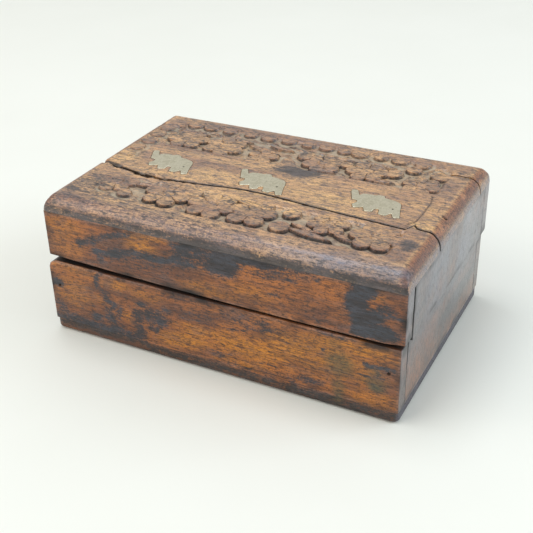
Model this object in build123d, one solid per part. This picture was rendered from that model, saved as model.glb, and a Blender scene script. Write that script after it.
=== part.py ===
from build123d import *
import math
import os

# An old carved wooden box with a hinged lid, in millimetres.
# The origin is under the middle of the closed box, on the surface it stands on.
# X runs along the front from left to right, Y from front to back and Z up.

# Overall sizes
box_length = 230.0
box_depth = 150.0
box_height = 93.7  # closed
base_wall_height = 41.4
lid_shift = 1.8  # the old lid sits this far to the right of the base
rim_gap = 0.4  # between the closed rims

# Boards
long_wall = 10.0  # front and back boards
end_wall = 10.0  # side boards, held between them
bottom_thickness = 7.8
bottom_inset = 1.0
bottom_corner = 4.0
bottom_edge = 1.5  # chamfer
top_thickness = 10.0
top_corner = 3.0
front_round = 9.5
back_round = 7.0
end_round = 7.0
corner_round = 1.0
rim_bevel = 1.0

# Shrinkage and wear
front_gap_left = 4.7  # the lid's front board stands clear of the base's, most at the left
front_gap_middle = 2.1
front_gap_right = 2.0
lid_joint_low = 1.5  # open joint at the front of the lid's right side board
lid_joint_high = 1.9
base_joint_high = 1.0  # open joint of the base's right side board, closed below joint_start
joint_start = 21.0  # above the bottom of the side board

# Top boards and the cracks between them
front_board_width = 53.0
back_board_width = 22.0
crack_overrun = 1.0

# Carving
carving_depth = 1.8
button_radius = 3.0
button_groove = 0.7
button_groove_depth = 0.7
petal_cuts = 12  # flat chisel cuts that a whole petal would take
button_cuts = 10

# Brass elephants
elephant_length = 38.0
elephant_thickness = 1.2
inlay_depth = 1.0
inlay_clearance = 0.1
inlay_pin_radius = 0.6
inlay_pin_length = 6.0

# Forged nails: square shanks and faceted heads
nail_width = 1.4
nail_head_radius = 1.5
nail_head_sides = 8
nail_head = 0.6
nail_length = 22.0
nail_point = 2.0
nail_sink = 0.8
nail_clearance = 0.02
nail_side_cover = 3.5  # wood left between a corner nail and the inner face of the side board
base_nail_height = 25.0  # above the bottom board
lid_nail_height = 16.0  # above the lid's rim
bottom_nail_length = 18.0
bottom_nail_from_end = 30.0
top_nail_sink = 1.6
top_nail_from_front = 72.0

# Hinges
lid_opening = 105.0
groove_inset = 2.2  # from the back face to the bottom of the groove between the rims
hinge_from_end = 45.0
hinge_length = 25.0
hinge_width = 7.0
leaf_thickness = 1.0
leaf_clearance = 0.1
knuckle_radius = 1.8
knuckle_gap = 0.2
knuckle_room = 0.3
hinge_pin_radius = 0.9
hinge_pin_clearance = 0.05
hinge_nail_width = 1.2
hinge_nail_length = 8.0
hinge_nail_spacing = 14.0

# Places worked out from the sizes above
half_length = box_length / 2
half_depth = box_depth / 2
base_x = -lid_shift / 2
lid_x = lid_shift / 2
inner_y = half_depth - long_wall
base_top = bottom_thickness + base_wall_height
lid_bottom = base_top + rim_gap
lid_wall_top = box_height - top_thickness
hinge_y = half_depth - groove_inset
hinge_z = base_top + rim_gap / 2
groove_drop = groove_inset * math.tan(math.radians(lid_opening / 2))
overall_length = box_length + lid_shift

# The front crack: places along the lid from its middle, how far the line strays
# from the front board's width, and how wide it is open there. Its two ends give
# only how far they stray and how wide they are.
FRONT_CRACK_LEFT = (8.0, 1.6)
FRONT_CRACK = [(-95.0, 2.0, 1.8), (-67.0, -2.2, 2.2), (-50.0, -1.2, 1.3), (-7.0, 4.2, 0.9), (45.0, 0.2, 0.9)]
# Its right-hand end, measured back from the lid's right end, has a chip like a tooth.
FRONT_CRACK_TOOTH = [(20.0, -3.5, 0.9), (17.0, 3.0, 0.9), (14.5, -0.2, 0.9)]
FRONT_CRACK_RIGHT = (-2.5, 1.0)
BACK_CRACK_LEFT = (0.0, 0.6)
BACK_CRACK = [(-60.0, 0.8, 0.6), (0.0, -0.4, 0.6), (60.0, 0.5, 0.6)]
BACK_CRACK_RIGHT = (0.0, 1.0)

# Carved flowers: place from the lid's middle and from the front or back edge,
# radius of the ring of petals, radius of a petal and turn.
FRONT_FLOWERS = [
    (-84.4, 36.5, 9.0, 4.6, 15.0),
    (-47.4, 34.5, 10.5, 5.4, 52.0),
    (-16.4, 32.0, 10.5, 5.4, 55.0),
    (9.1, 32.0, 9.5, 5.6, 19.0),
    (54.6, 38.0, 8.0, 4.4, 20.0),
    (83.6, 35.0, 10.0, 5.4, 2.0),
]
BACK_FLOWERS = [
    (-79.4, 38.0, 9.5, 5.2, 10.0),
    (-51.4, 39.0, 9.5, 5.2, 40.0),
    (-21.4, 44.0, 6.8, 3.9, 18.0),
    (18.6, 38.0, 8.8, 4.9, 25.0),
    (48.6, 38.0, 9.2, 5.0, 10.0),
    (84.6, 44.0, 7.8, 4.4, 50.0),
]

# Single round petals: place and radius.
FRONT_PETALS = [
    (-33.4, 41.0, 5.3), (12.6, 43.4, 5.5), (30.6, 41.3, 5.3), (30.6, 24.4, 6.0), (-72.2, 24.8, 4.4),
]
BACK_PETALS = [
    (-87.4, 14.0, 5.5), (-75.0, 14.4, 5.2), (-60.4, 14.6, 5.0), (-44.4, 14.4, 4.7), (-30.9, 14.6, 5.6),
    (-16.4, 13.8, 5.2), (-2.2, 14.8, 4.4), (10.6, 14.2, 5.0), (23.4, 14.5, 4.7), (34.2, 14.2, 5.9),
    (48.4, 14.4, 4.6), (61.2, 13.9, 5.9), (76.0, 14.6, 5.2), (4.4, 32.0, 5.8), (32.8, 34.0, 4.2),
    (64.2, 34.2, 5.6), (73.6, 24.4, 5.0), (91.2, 27.2, 6.0),
]
# The row at the left end: place from the left end and from the back edge, and radius.
END_PETALS = [(12.6, 27.0, 5.0), (12.0, 38.2, 5.2), (12.8, 50.2, 5.5), (11.4, 62.6, 4.7), (11.0, 74.0, 4.8)]

# Leaves: from tip to tip and width.
FRONT_LEAVES = [
    (-75.0, 37.6, -58.6, 41.2, 4.6),
    (-17.0, 49.4, 22.0, 37.6, 6.4),
    (34.6, 31.0, 52.0, 25.6, 3.6),
    (34.6, 25.2, 63.6, 20.4, 4.8),
    (60.0, 30.0, 74.0, 24.0, 3.8),
]
BACK_LEAVES = [
    (-37.6, 31.0, -12.4, 37.4, 5.6),
    (14.0, 47.6, 30.6, 48.4, 4.4),
    (-94.0, 26.4, -68.0, 27.6, 4.0),
    (-56.0, 27.6, -36.0, 27.0, 3.8),
    (-24.0, 27.0, -6.0, 28.6, 3.8),
    (14.0, 27.2, 38.0, 27.8, 4.0),
    (46.0, 27.0, 64.0, 27.4, 3.8),
    (54.0, 48.4, 69.0, 47.4, 4.4),
]

# Carved fields: margins at the left and right ends, then edges from the front or the back.
FRONT_FIELD = (20.0, 18.0, 15.5, 47.5)
BACK_FIELD = (19.6, 17.0, 11.0, 53.0)
# The field at the left end starts at end_field_margin and runs into the back one.
end_field_margin = 5.6
END_FIELD_EDGES = (20.0, 80.0)
field_corner = 4.0

# Outline of an elephant of standard_length walking left with its trunk up,
# its lowest foot at height 0. The back is an arc, the rest is cut straight.
standard_length = 38.0
ELEPHANT_BACK = [(3.0, 21.6), (11.8, 19.7), (14.8, 16.0)]
ELEPHANT_REST = [
    (14.8, 16.0), (16.2, 10.3), (19.0, 1.1), (15.6, 0.0), (12.8, 5.1), (10.4, 0.8),
    (6.2, 1.3), (5.2, 5.6), (4.4, 7.1), (1.9, 6.6), (2.0, 2.6), (-2.2, 1.3), (-4.6, 6.2), (-6.2, 4.9),
    (-9.8, 3.2), (-12.0, 7.0), (-10.2, 10.3), (-10.8, 12.8), (-14.6, 13.4), (-15.2, 15.0),
    (-16.6, 18.2), (-18.4, 22.0), (-19.0, 24.8), (-15.5, 25.6), (-13.2, 21.5), (-12.2, 19.4),
    (-11.0, 22.2), (-8.0, 22.9), (-3.0, 22.8), (-2.2, 24.1), (1.8, 24.1), (3.0, 21.6),
]
ELEPHANT_PIN = (12.0, 9.8)
# Place of each elephant along the lid, and of its feet above the front board's width.
ELEPHANTS = {"left": (-70.4, 7.4), "middle": (-4.4, 5.3), "right": (68.6, 5.8)}


def block(x_low, x_high, y_low, y_high, z_low, z_high):
    """A plain block between two corners."""
    middle = Pos((x_low + x_high) / 2, (y_low + y_high) / 2, (z_low + z_high) / 2)
    return middle * Box(x_high - x_low, y_high - y_low, z_high - z_low)


def rod(x_low, x_high, radius):
    """A round rod on the hinge axis."""
    middle = Pos((x_low + x_high) / 2, hinge_y, hinge_z)
    return middle * Rot(0, 90, 0) * Cylinder(radius, x_high - x_low)


def long_board(section, middle_x, outer_y):
    """A front or back board: its section in Y and Z, run along the box, its ends softened."""
    face = Plane.YZ * make_face(Polyline(*section, close=True))
    board = Pos(middle_x, 0, 0) * extrude(face, half_length, both=True)
    corners = board.edges().filter_by(Axis.Z)
    corners = corners.filter_by(lambda edge: abs(edge.center().Y - outer_y) < corner_round)
    return fillet(corners, corner_round)


def side_board(low_x, outer_x, rim_z, z_high, z_low, open_end):
    """A side board between the long ones, its front end shaped by pairs of height and gap."""
    front_end = [(-inner_y + gap, z) for z, gap in open_end]
    outline = front_end + [(inner_y, z_high), (inner_y, z_low)]
    face = Plane.YZ.offset(low_x) * make_face(Polyline(*outline, close=True))
    board = extrude(face, end_wall)
    rim_edge = board.edges().filter_by(Axis.Y).sort_by_distance((outer_x, 0, rim_z))[0]
    return chamfer(rim_edge, rim_bevel)


def prism(radius, sides, z_low, z_high):
    """An upright prism on a regular outline."""
    return Pos(0, 0, z_low) * extrude(RegularPolygon(radius, sides), z_high - z_low)


def nail(width, length, spare=0.0, way_in=0.0):
    """A nail pointing down from the top of its head, or with spare the hole that takes it."""
    half = width / 2 + spare
    low = -length - spare
    outline = [(-half, 0), (half, 0), (half, low + nail_point), (0, low), (-half, low + nail_point)]
    shank = extrude(Plane.XZ * make_face(Polyline(*outline, close=True)), half, both=True)
    return shank + prism(nail_head_radius + spare, nail_head_sides, -nail_head - spare, spare + way_in)


def corner_places(middle_x, z):
    """Where nails go through the long boards into the ends of the side boards."""
    from_middle = half_length - end_wall + nail_side_cover
    places = []
    for side in (-1, 1):
        for face in (-1, 1):
            origin = (middle_x + side * from_middle, face * (half_depth - nail_sink), z)
            places.append(Plane(origin, x_dir=(1, 0, 0), z_dir=(0, face, 0)).location)
    return places


def drilled(board, places, cutter):
    """The board with a hole at every place that reaches it."""
    for place in places:
        board = board - place * cutter
    return board


def top_section(width, near_radius, far_radius):
    """Section of the top, a plank with its two upper edges rounded over."""
    plank = Pos(0, top_thickness / 2) * Rectangle(width, top_thickness)
    plank = fillet(plank.vertices().sort_by(lambda v: v.Y - v.X)[-1], near_radius)
    return fillet(plank.vertices().sort_by(lambda v: v.Y + v.X)[-1], far_radius)


def top_slab():
    """The whole top before it is split, rounded along all four edges."""
    along = extrude(Plane.YZ * top_section(box_depth, front_round, back_round), half_length, both=True)
    across = extrude(Plane.XZ * top_section(box_length, end_round, end_round), half_depth, both=True)
    outline = extrude(RectangleRounded(box_length, box_depth, top_corner), top_thickness)
    return Pos(lid_x, 0, lid_wall_top) * (along & across & outline)


def from_front(y):
    """A place measured from the front edge."""
    return y - half_depth


def from_back(y):
    """A place measured from the back edge."""
    return half_depth - y


def crack_points(stations, board_edge, side):
    """Points on one side of a crack, -1 for the front and 1 for the back."""
    return [(x, board_edge + stray + side * width / 2) for x, stray, width in stations]


def front_crack(side):
    """One side of the front crack, from left to right."""
    board_edge = from_front(front_board_width)
    end = half_length + crack_overrun
    wavy = crack_points([(-end, *FRONT_CRACK_LEFT), *FRONT_CRACK], board_edge, side)
    tooth = [(half_length - x, stray, width) for x, stray, width in FRONT_CRACK_TOOTH]
    tooth = crack_points([*tooth, (end, *FRONT_CRACK_RIGHT)], board_edge, side)
    return Spline(*wavy, tooth[0]), Polyline(*tooth)


def back_crack(side):
    """One side of the back crack, from left to right."""
    end = half_length + crack_overrun
    stations = [(-end, *BACK_CRACK_LEFT), *BACK_CRACK, (end, *BACK_CRACK_RIGHT)]
    return [Spline(*crack_points(stations, from_back(back_board_width), side))]


def closed_outline(lower, upper):
    """The face between two lines that both run from left to right."""
    left = Line(lower[0] @ 0, upper[0] @ 0)
    right = Line(lower[-1] @ 1, upper[-1] @ 1)
    return make_face([*lower, *upper, left, right])


def board_between(slab, lower, upper):
    """The part of the top between two lines."""
    outline = Pos(lid_x, 0, lid_wall_top) * closed_outline(lower, upper)
    return slab & extrude(outline, top_thickness)


def petal(x, y, radius):
    """A round petal, cut out with straight chisel cuts."""
    return Pos(x, y) * RegularPolygon(radius, petal_cuts)


def flower(x, y, ring, petal_radius, turn):
    """As many round petals as stand side by side in a ring, about a middle that joins them."""
    count = round(math.pi * ring / petal_radius)
    petals = [place * petal(0, 0, petal_radius) for place in PolarLocations(ring, count, turn)]
    return [Pos(x, y) * part for part in petals] + [petal(x, y, ring - petal_radius / 3)]


def leaf(x1, y1, x2, y2, width):
    """A leaf between two tips, each side one arc."""
    length = math.hypot(x2 - x1, y2 - y1)
    near = ThreePointArc((0, 0), (length / 2, -width / 2), (length, 0))
    far = ThreePointArc((0, 0), (length / 2, width / 2), (length, 0))
    turn = math.degrees(math.atan2(y2 - y1, x2 - x1))
    return Pos(x1, y1) * Rot(0, 0, turn) * make_face([near, far])


def field(left, right, near, far):
    """A carved field with round corners."""
    middle = Pos((left + right) / 2, (near + far) / 2)
    return middle * RectangleRounded(right - left, far - near, field_corner)


def carved_ground(fields, motifs):
    """What the carver took away: the fields around the raised flowers and leaves."""
    ground = fields - motifs
    return Pos(lid_x, 0, box_height - carving_depth) * extrude(ground, carving_depth)


def button_rings(flowers, edge):
    """The round grooves that set off the middle of each flower."""
    ring = RegularPolygon(button_radius + button_groove, button_cuts)
    ring -= RegularPolygon(button_radius, button_cuts)
    rings = [Pos(x, edge(y)) * ring for x, y, *_ in flowers]
    return Pos(lid_x, 0, box_height - button_groove_depth) * extrude(Sketch() + rings, button_groove_depth)


def front_carving():
    """The band along the front of the lid."""
    left, right, near, far = FRONT_FIELD
    motifs = []
    for x, y, *rest in FRONT_FLOWERS:
        motifs += flower(x, from_front(y), *rest)
    motifs += [petal(x, from_front(y), radius) for x, y, radius in FRONT_PETALS]
    motifs += [leaf(x1, from_front(y1), x2, from_front(y2), w) for x1, y1, x2, y2, w in FRONT_LEAVES]
    fields = field(left - half_length, half_length - right, from_front(near), from_front(far))
    return carved_ground(fields, Sketch() + motifs)


def back_carving():
    """The band along the back of the lid, with the row of petals at the left end."""
    left, right, near, far = BACK_FIELD
    motifs = []
    for x, y, *rest in BACK_FLOWERS:
        motifs += flower(x, from_back(y), *rest)
    motifs += [petal(x, from_back(y), radius) for x, y, radius in BACK_PETALS]
    motifs += [petal(x - half_length, from_back(y), radius) for x, y, radius in END_PETALS]
    motifs += [leaf(x1, from_back(y1), x2, from_back(y2), w) for x1, y1, x2, y2, w in BACK_LEAVES]
    fields = field(left - half_length, half_length - right, from_back(far), from_back(near))
    near, far = END_FIELD_EDGES
    right = left + field_corner
    fields += field(end_field_margin - half_length, right - half_length, from_back(far), from_back(near))
    return carved_ground(fields, Sketch() + motifs)


def elephant_place(name):
    """Where an elephant stands, just behind the front crack."""
    x, feet = ELEPHANTS[name]
    return Pos(lid_x + x, from_front(front_board_width + feet), box_height - inlay_depth)


def elephant_face():
    """The outline cut from sheet brass."""
    back = ThreePointArc(*ELEPHANT_BACK)
    rest = Polyline(*ELEPHANT_REST)
    return scale(make_face([back, rest]), elephant_length / standard_length)


def inlay_pin(spare=0.0):
    """The brass pin through an elephant's rump, its head filed level with the sheet."""
    x, y = ELEPHANT_PIN
    share = elephant_length / standard_length
    top = elephant_thickness + spare
    pin = prism(inlay_pin_radius + spare, nail_head_sides, top - inlay_pin_length - 2 * spare, top)
    return Pos(x * share, y * share) * pin


def hinge_leaf(x, on_lid):
    """One leaf of a hinge with its knuckles: two on the base's leaf, one between them on the lid's."""
    knuckle = (hinge_length - 2 * knuckle_gap) / 3
    z_low = lid_bottom if on_lid else base_top - leaf_thickness
    half = hinge_length / 2
    z_high = z_low + leaf_thickness
    leaf_part = block(x - half, x + half, hinge_y - hinge_width, hinge_y, z_low, z_high)
    clear_y = hinge_y - knuckle_radius - knuckle_room
    outer = [(x - half, x - half + knuckle), (x + half - knuckle, x + half)]
    inner = [(x - knuckle / 2, x + knuckle / 2)]
    own, other = (inner, outer) if on_lid else (outer, inner)
    for low, high in other:
        leaf_part -= block(low - knuckle_gap, high + knuckle_gap, clear_y, half_depth, z_low, z_high)
    for low, high in own:
        leaf_part += rod(low, high, knuckle_radius)
    leaf_part -= rod(x - half, x + half, hinge_pin_radius + hinge_pin_clearance)
    return drilled(leaf_part, hinge_nail_places(x, on_lid), hinge_nail_hole)


def hinge_nail_places(x, on_lid):
    """Where the nails of one leaf go, heads level with the leaf."""
    y = hinge_y - (hinge_width + knuckle_radius) / 2
    z = lid_bottom if on_lid else base_top
    outward = (0, 0, -1) if on_lid else (0, 0, 1)
    places = []
    for side in (-1, 1):
        origin = (x + side * hinge_nail_spacing / 2, y, z)
        places.append(Plane(origin, x_dir=(1, 0, 0), z_dir=outward).location)
    return places


def hinge_room(x, on_lid):
    """What a hinge takes out of a rim: the let-in for its leaf and the round way for its knuckles."""
    half = hinge_length / 2 + leaf_clearance
    z_low = lid_bottom if on_lid else base_top - leaf_thickness
    front = hinge_y - hinge_width - leaf_clearance
    room = block(x - half, x + half, front, hinge_y, z_low, z_low + leaf_thickness)
    knuckle_half = hinge_length / 2 + knuckle_room
    return room + rod(x - knuckle_half, x + knuckle_half, knuckle_radius + knuckle_room)


nodes = {}

# Places of the nails and hinges
hinge_from_middle = half_length - hinge_from_end
HINGES = {"left": -hinge_from_middle, "right": hinge_from_middle}
base_nails = corner_places(base_x, bottom_thickness + base_nail_height)
lid_nails = corner_places(lid_x, lid_bottom + lid_nail_height)
corner_nail = nail(nail_width, nail_length)
corner_hole = nail(nail_width, nail_length, nail_clearance, nail_sink)
bottom_nails = []
for side in (-1, 1):
    for step in (-1, 0, 1):
        x = base_x + step * (half_length - bottom_nail_from_end)
        origin = (x, side * (half_depth - long_wall / 2), nail_sink / 2)
        bottom_nails.append(Plane(origin, x_dir=(1, 0, 0), z_dir=(0, 0, -1)).location)
bottom_nail_hole = nail(nail_width, bottom_nail_length, nail_clearance, nail_sink)
top_nail_x = lid_x + half_length - end_wall / 2
top_nail_place = Pos(top_nail_x, from_front(top_nail_from_front), box_height - top_nail_sink)
top_nail_hole = nail(nail_width, nail_length, nail_clearance, top_nail_sink)
hinge_nail_hole = nail(hinge_nail_width, hinge_nail_length, nail_clearance)

# Base: four boards on a thin bottom
front_section = [
    (-half_depth, bottom_thickness), (-inner_y, bottom_thickness), (-inner_y, base_top),
    (-half_depth + rim_bevel, base_top), (-half_depth, base_top - rim_bevel),
]
back_section = [
    (inner_y, bottom_thickness), (half_depth, bottom_thickness), (half_depth, base_top - groove_drop),
    (hinge_y, base_top), (inner_y, base_top),
]
closed = [(bottom_thickness, 0.0), (base_top, 0.0)]
opened = [(bottom_thickness, 0.0), (bottom_thickness + joint_start, 0.0), (base_top, base_joint_high)]
base_front = long_board(front_section, base_x, -half_depth)
base_back = long_board(back_section, base_x, half_depth)
left_x = base_x - half_length
right_x = base_x + half_length
base_left = side_board(left_x, left_x, base_top, base_top, bottom_thickness, closed)
base_right = side_board(right_x - end_wall, right_x, base_top, base_top, bottom_thickness, opened)
for x in HINGES.values():
    base_back -= hinge_room(x, False)
    base_back = drilled(base_back, hinge_nail_places(x, False), hinge_nail_hole)
nodes["base_front"] = drilled(drilled(base_front, base_nails, corner_hole), bottom_nails, bottom_nail_hole)
nodes["base_back"] = drilled(drilled(base_back, base_nails, corner_hole), bottom_nails, bottom_nail_hole)
nodes["base_left"] = drilled(base_left, base_nails, corner_hole)
nodes["base_right"] = drilled(base_right, base_nails, corner_hole)
bottom_outline = RectangleRounded(box_length - 2 * bottom_inset, box_depth - 2 * bottom_inset, bottom_corner)
bottom = Pos(base_x, 0, 0) * extrude(bottom_outline, bottom_thickness)
bottom = chamfer(bottom.faces().sort_by(Axis.Z)[0].edges(), bottom_edge)
nodes["bottom_board"] = drilled(bottom, bottom_nails, bottom_nail_hole)
nodes["base_corner_nails"] = Compound([place * corner_nail for place in base_nails])
nodes["bottom_nails"] = Compound([place * nail(nail_width, bottom_nail_length) for place in bottom_nails])

# Lid: four boards under a top of three
lid_front_section = [
    (-half_depth, lid_bottom), (-inner_y, lid_bottom), (-inner_y, lid_wall_top), (-half_depth, lid_wall_top),
]
lid_back_section = [
    (inner_y, lid_bottom), (hinge_y, lid_bottom), (half_depth, lid_bottom + groove_drop),
    (half_depth, lid_wall_top), (inner_y, lid_wall_top),
]
lid_closed = [(lid_bottom, 0.0), (lid_wall_top, 0.0)]
lid_opened = [(lid_bottom, lid_joint_low), (lid_wall_top, lid_joint_high)]
lid_left_x = lid_x - half_length
lid_right_x = lid_x + half_length
lid_front = long_board(lid_front_section, lid_x, -half_depth)
worn_from = lid_left_x - crack_overrun
worn_to = lid_right_x + crack_overrun
worn_edge = Spline(
    (worn_from, base_top + front_gap_left),
    (lid_x, base_top + front_gap_middle),
    (worn_to, base_top + front_gap_right),
)
below = Polyline(worn_edge @ 0, (worn_from, 0), (worn_to, 0), worn_edge @ 1)
worn_away = extrude(Plane.XZ * make_face([worn_edge, *below.edges()]), half_depth + crack_overrun)
lid_front -= worn_away
lid_back = long_board(lid_back_section, lid_x, half_depth)
lid_left = side_board(lid_left_x, lid_left_x, lid_bottom, lid_wall_top, lid_bottom, lid_closed)
lid_right = side_board(lid_right_x - end_wall, lid_right_x, lid_bottom, lid_wall_top, lid_bottom, lid_opened)
for x in HINGES.values():
    lid_back -= hinge_room(x, True)
    lid_back = drilled(lid_back, hinge_nail_places(x, True), hinge_nail_hole)
nodes["lid_front"] = drilled(lid_front, lid_nails, corner_hole)
nodes["lid_back"] = drilled(lid_back, lid_nails, corner_hole)
nodes["lid_left"] = drilled(lid_left, lid_nails, corner_hole)
nodes["lid_right"] = drilled(lid_right, lid_nails, corner_hole) - top_nail_place * top_nail_hole
nodes["lid_corner_nails"] = Compound([place * corner_nail for place in lid_nails])

# Top boards, split, carved and cut out for the elephants
slab = top_slab()
front_edge = [Line((-half_length, -half_depth), (half_length, -half_depth))]
back_edge = [Line((-half_length, half_depth), (half_length, half_depth))]
top_front = board_between(slab, front_edge, front_crack(-1)) - front_carving()
top_front -= button_rings(FRONT_FLOWERS, from_front)
back_ground = back_carving()
back_rings = button_rings(BACK_FLOWERS, from_back)
top_middle = board_between(slab, front_crack(1), back_crack(-1)) - back_ground - back_rings
top_middle -= top_nail_place * top_nail_hole
inlay = elephant_face()
inlay_pins = []
for name in ELEPHANTS:
    place = elephant_place(name)
    pocket = extrude(offset(inlay, inlay_clearance, kind=Kind.INTERSECTION), elephant_thickness)
    top_middle = top_middle - place * pocket - place * inlay_pin(nail_clearance)
    nodes["elephant_" + name] = place * (extrude(inlay, elephant_thickness) - inlay_pin(nail_clearance))
    inlay_pins.append(place * inlay_pin())
nodes["top_front_board"] = top_front
nodes["top_middle_board"] = top_middle
nodes["top_back_board"] = board_between(slab, back_crack(1), back_edge) - back_ground
nodes["elephant_pins"] = Compound(inlay_pins)
nodes["top_nail"] = top_nail_place * nail(nail_width, nail_length)

# Hinges
for name, x in HINGES.items():
    nodes["hinge_" + name + "_base_leaf"] = hinge_leaf(x, False)
    nodes["hinge_" + name + "_lid_leaf"] = hinge_leaf(x, True)
    nodes["hinge_" + name + "_pin"] = rod(x - hinge_length / 2, x + hinge_length / 2, hinge_pin_radius)
for node, on_lid in (("base_hinge_nails", False), ("lid_hinge_nails", True)):
    places = [place for x in HINGES.values() for place in hinge_nail_places(x, on_lid)]
    nodes[node] = Compound([place * nail(hinge_nail_width, hinge_nail_length) for place in places])

os.makedirs("parts", exist_ok=True)
for name, shape in nodes.items():
    export_step(shape, "parts/" + name + ".step")
print(len(nodes), "parts", "overall", overall_length, box_depth, box_height)
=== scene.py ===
import itertools
import math

import bpy
import numpy as np
from mathutils import Matrix, Vector


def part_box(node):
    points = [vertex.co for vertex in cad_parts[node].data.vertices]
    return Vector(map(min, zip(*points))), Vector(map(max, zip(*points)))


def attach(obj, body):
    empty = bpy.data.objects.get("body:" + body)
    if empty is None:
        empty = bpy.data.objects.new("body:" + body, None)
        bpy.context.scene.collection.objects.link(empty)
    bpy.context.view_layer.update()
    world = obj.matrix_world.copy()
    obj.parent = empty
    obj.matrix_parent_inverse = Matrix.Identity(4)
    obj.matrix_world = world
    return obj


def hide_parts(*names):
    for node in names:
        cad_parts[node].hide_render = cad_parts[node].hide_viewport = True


# An old carved wooden box: worn boards, a carved and split top with brass elephants let in.
# Shapes are worked out in millimetres in the frame's axes, and scaled when their mesh is made.
MM = 0.001

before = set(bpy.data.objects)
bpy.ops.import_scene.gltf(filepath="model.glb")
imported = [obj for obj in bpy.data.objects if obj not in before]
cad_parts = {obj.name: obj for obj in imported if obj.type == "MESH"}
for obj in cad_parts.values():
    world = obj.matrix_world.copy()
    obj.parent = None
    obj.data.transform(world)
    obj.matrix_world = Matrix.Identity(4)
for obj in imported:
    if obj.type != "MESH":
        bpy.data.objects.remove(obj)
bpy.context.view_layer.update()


def corners(node):
    """Lowest and highest corner of a node, in millimetres."""
    low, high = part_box(node)
    return np.array(low) / MM, np.array(high) / MM


# Sizes and places that the frame gives
BASE_LOW, BASE_HIGH = corners("base_front")
LID_LOW, LID_HIGH = corners("lid_front")
TOP_LOW, TOP_HIGH = corners("top_front_board")
BASE_X = (BASE_LOW[0] + BASE_HIGH[0]) / 2
LID_X = (LID_LOW[0] + LID_HIGH[0]) / 2
HALF_LENGTH = (BASE_HIGH[0] - BASE_LOW[0]) / 2
FRONT_Y = BASE_LOW[1]
BACK_Y = corners("base_back")[1][1]
BOX_DEPTH = BACK_Y - FRONT_Y
LONG_WALL = BASE_HIGH[1] - BASE_LOW[1]
END_WALL = corners("base_left")[1][0] - BASE_LOW[0]
BOTTOM_TOP = BASE_LOW[2]
BASE_TOP = BASE_HIGH[2]
LID_BOTTOM = corners("lid_left")[0][2]
WALL_TOP = LID_HIGH[2]
TOP_Z = TOP_HIGH[2]
TOP_THICKNESS = TOP_HIGH[2] - TOP_LOW[2]
PINS = [np.mean(corners("hinge_" + side + "_pin"), axis=0) for side in ("left", "right")]
HINGES = [pin[0] for pin in PINS]
HINGE_Y, HINGE_Z = PINS[0][1:]
BODY_X = {"base": BASE_X, "lid": LID_X}
NAIL_Z = {body: float(np.mean(corners(body + "_corner_nails"), axis=0)[2]) for body in BODY_X}

# Roundings, worn edges, the groove at the back and the let-ins for the hinges
FRONT_ROUND = 9.5
BACK_ROUND = 7.0
END_ROUND = 7.0
OUTER_CORNER = 1.0
WORN_EDGE = 0.6
INNER_EDGE = 0.4
JOINT_EDGE = 0.05
RIM_EDGE = 0.25
ON_FACE = 0.02
# how dark the gap between lid and base and the board joints are painted, as shade
GAP_SHADE = 0.96
GROOVE_DROP = 2.87  # how far the groove between the rims rises or falls at the back face
LEAF_SIDE = 12.6  # half the let-in for a hinge leaf
LEAF_DEPTH = 7.1
LEAF_SINK = 1.02
KNUCKLE_WAY = 2.1
KNUCKLE_ROOM = 0.2
STEP_GAP = 0.03  # grid lines this close on both sides of a step keep it steep
BOTTOM_CORNER = 4.0
BOTTOM_EDGE = 2.2
INLAY_BEVEL = 0.3
SMOOTH_ANGLE = 40.0
LEAST_TOP = 1.0  # what carving and cracks leave of the top at least

# Steps of the grids, along, across and up
LONG_STEPS = (1.1, 1.4, 0.9)
SIDE_STEPS = (1.4, 1.0, 0.9)
BOTTOM_STEPS = (1.6, 1.6, 0.9)
TOP_STEPS = {"front": 0.42, "middle": 0.45, "back": 0.45}
TOP_STEP_DOWN = 1.1

# The gap below the lid's front board: at its left end, its middle and its right end
FRONT_GAPS = (4.7, 2.1, 2.0)
CORNER_LIFT = 1.4  # of the lid's lower edge at its right end
CORNER_DROP = 2.2  # of the base's rim at its left end
# The base's front rim, rubbed off at a slant from its left end to RIM_SLANT_END
RIM_SLANT = 1.1
RIM_SLANT_HEIGHT = 2.6
RIM_SLANT_END = -72.0
# Open joints of the right side boards, at the foot and at the top
LID_JOINT = (1.5, 1.9)
BASE_JOINT = (0.0, 1.0)
BASE_JOINT_START = BOTTOM_TOP + 21.0

# Nails
NAIL_FROM_END = 6.5
NAIL_PIT = 0.9
NAIL_PIT_DEPTH = 0.95
FILLED_DEPTH = 0.12
TOP_NAIL = (110.0, 72.0)
TOP_NAIL_DEPTH = 1.9
BOTTOM_NAIL_X = (-85.0, 0.0, 85.0)
BOTTOM_NAIL_SINK = 0.5
BOTTOM_SPREAD = 0.9  # the old bottom's edge stands nearly flush with the walls

# The top. Places are from the lid's middle and from its front edge. Only those of the back
# flowers, petals and leaves are from its back edge.
FRONT_BOARD_WIDTH = 53.0
BACK_BOARD_WIDTH = 22.0
BACK_MIDDLE = BOX_DEPTH - BACK_BOARD_WIDTH
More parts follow.
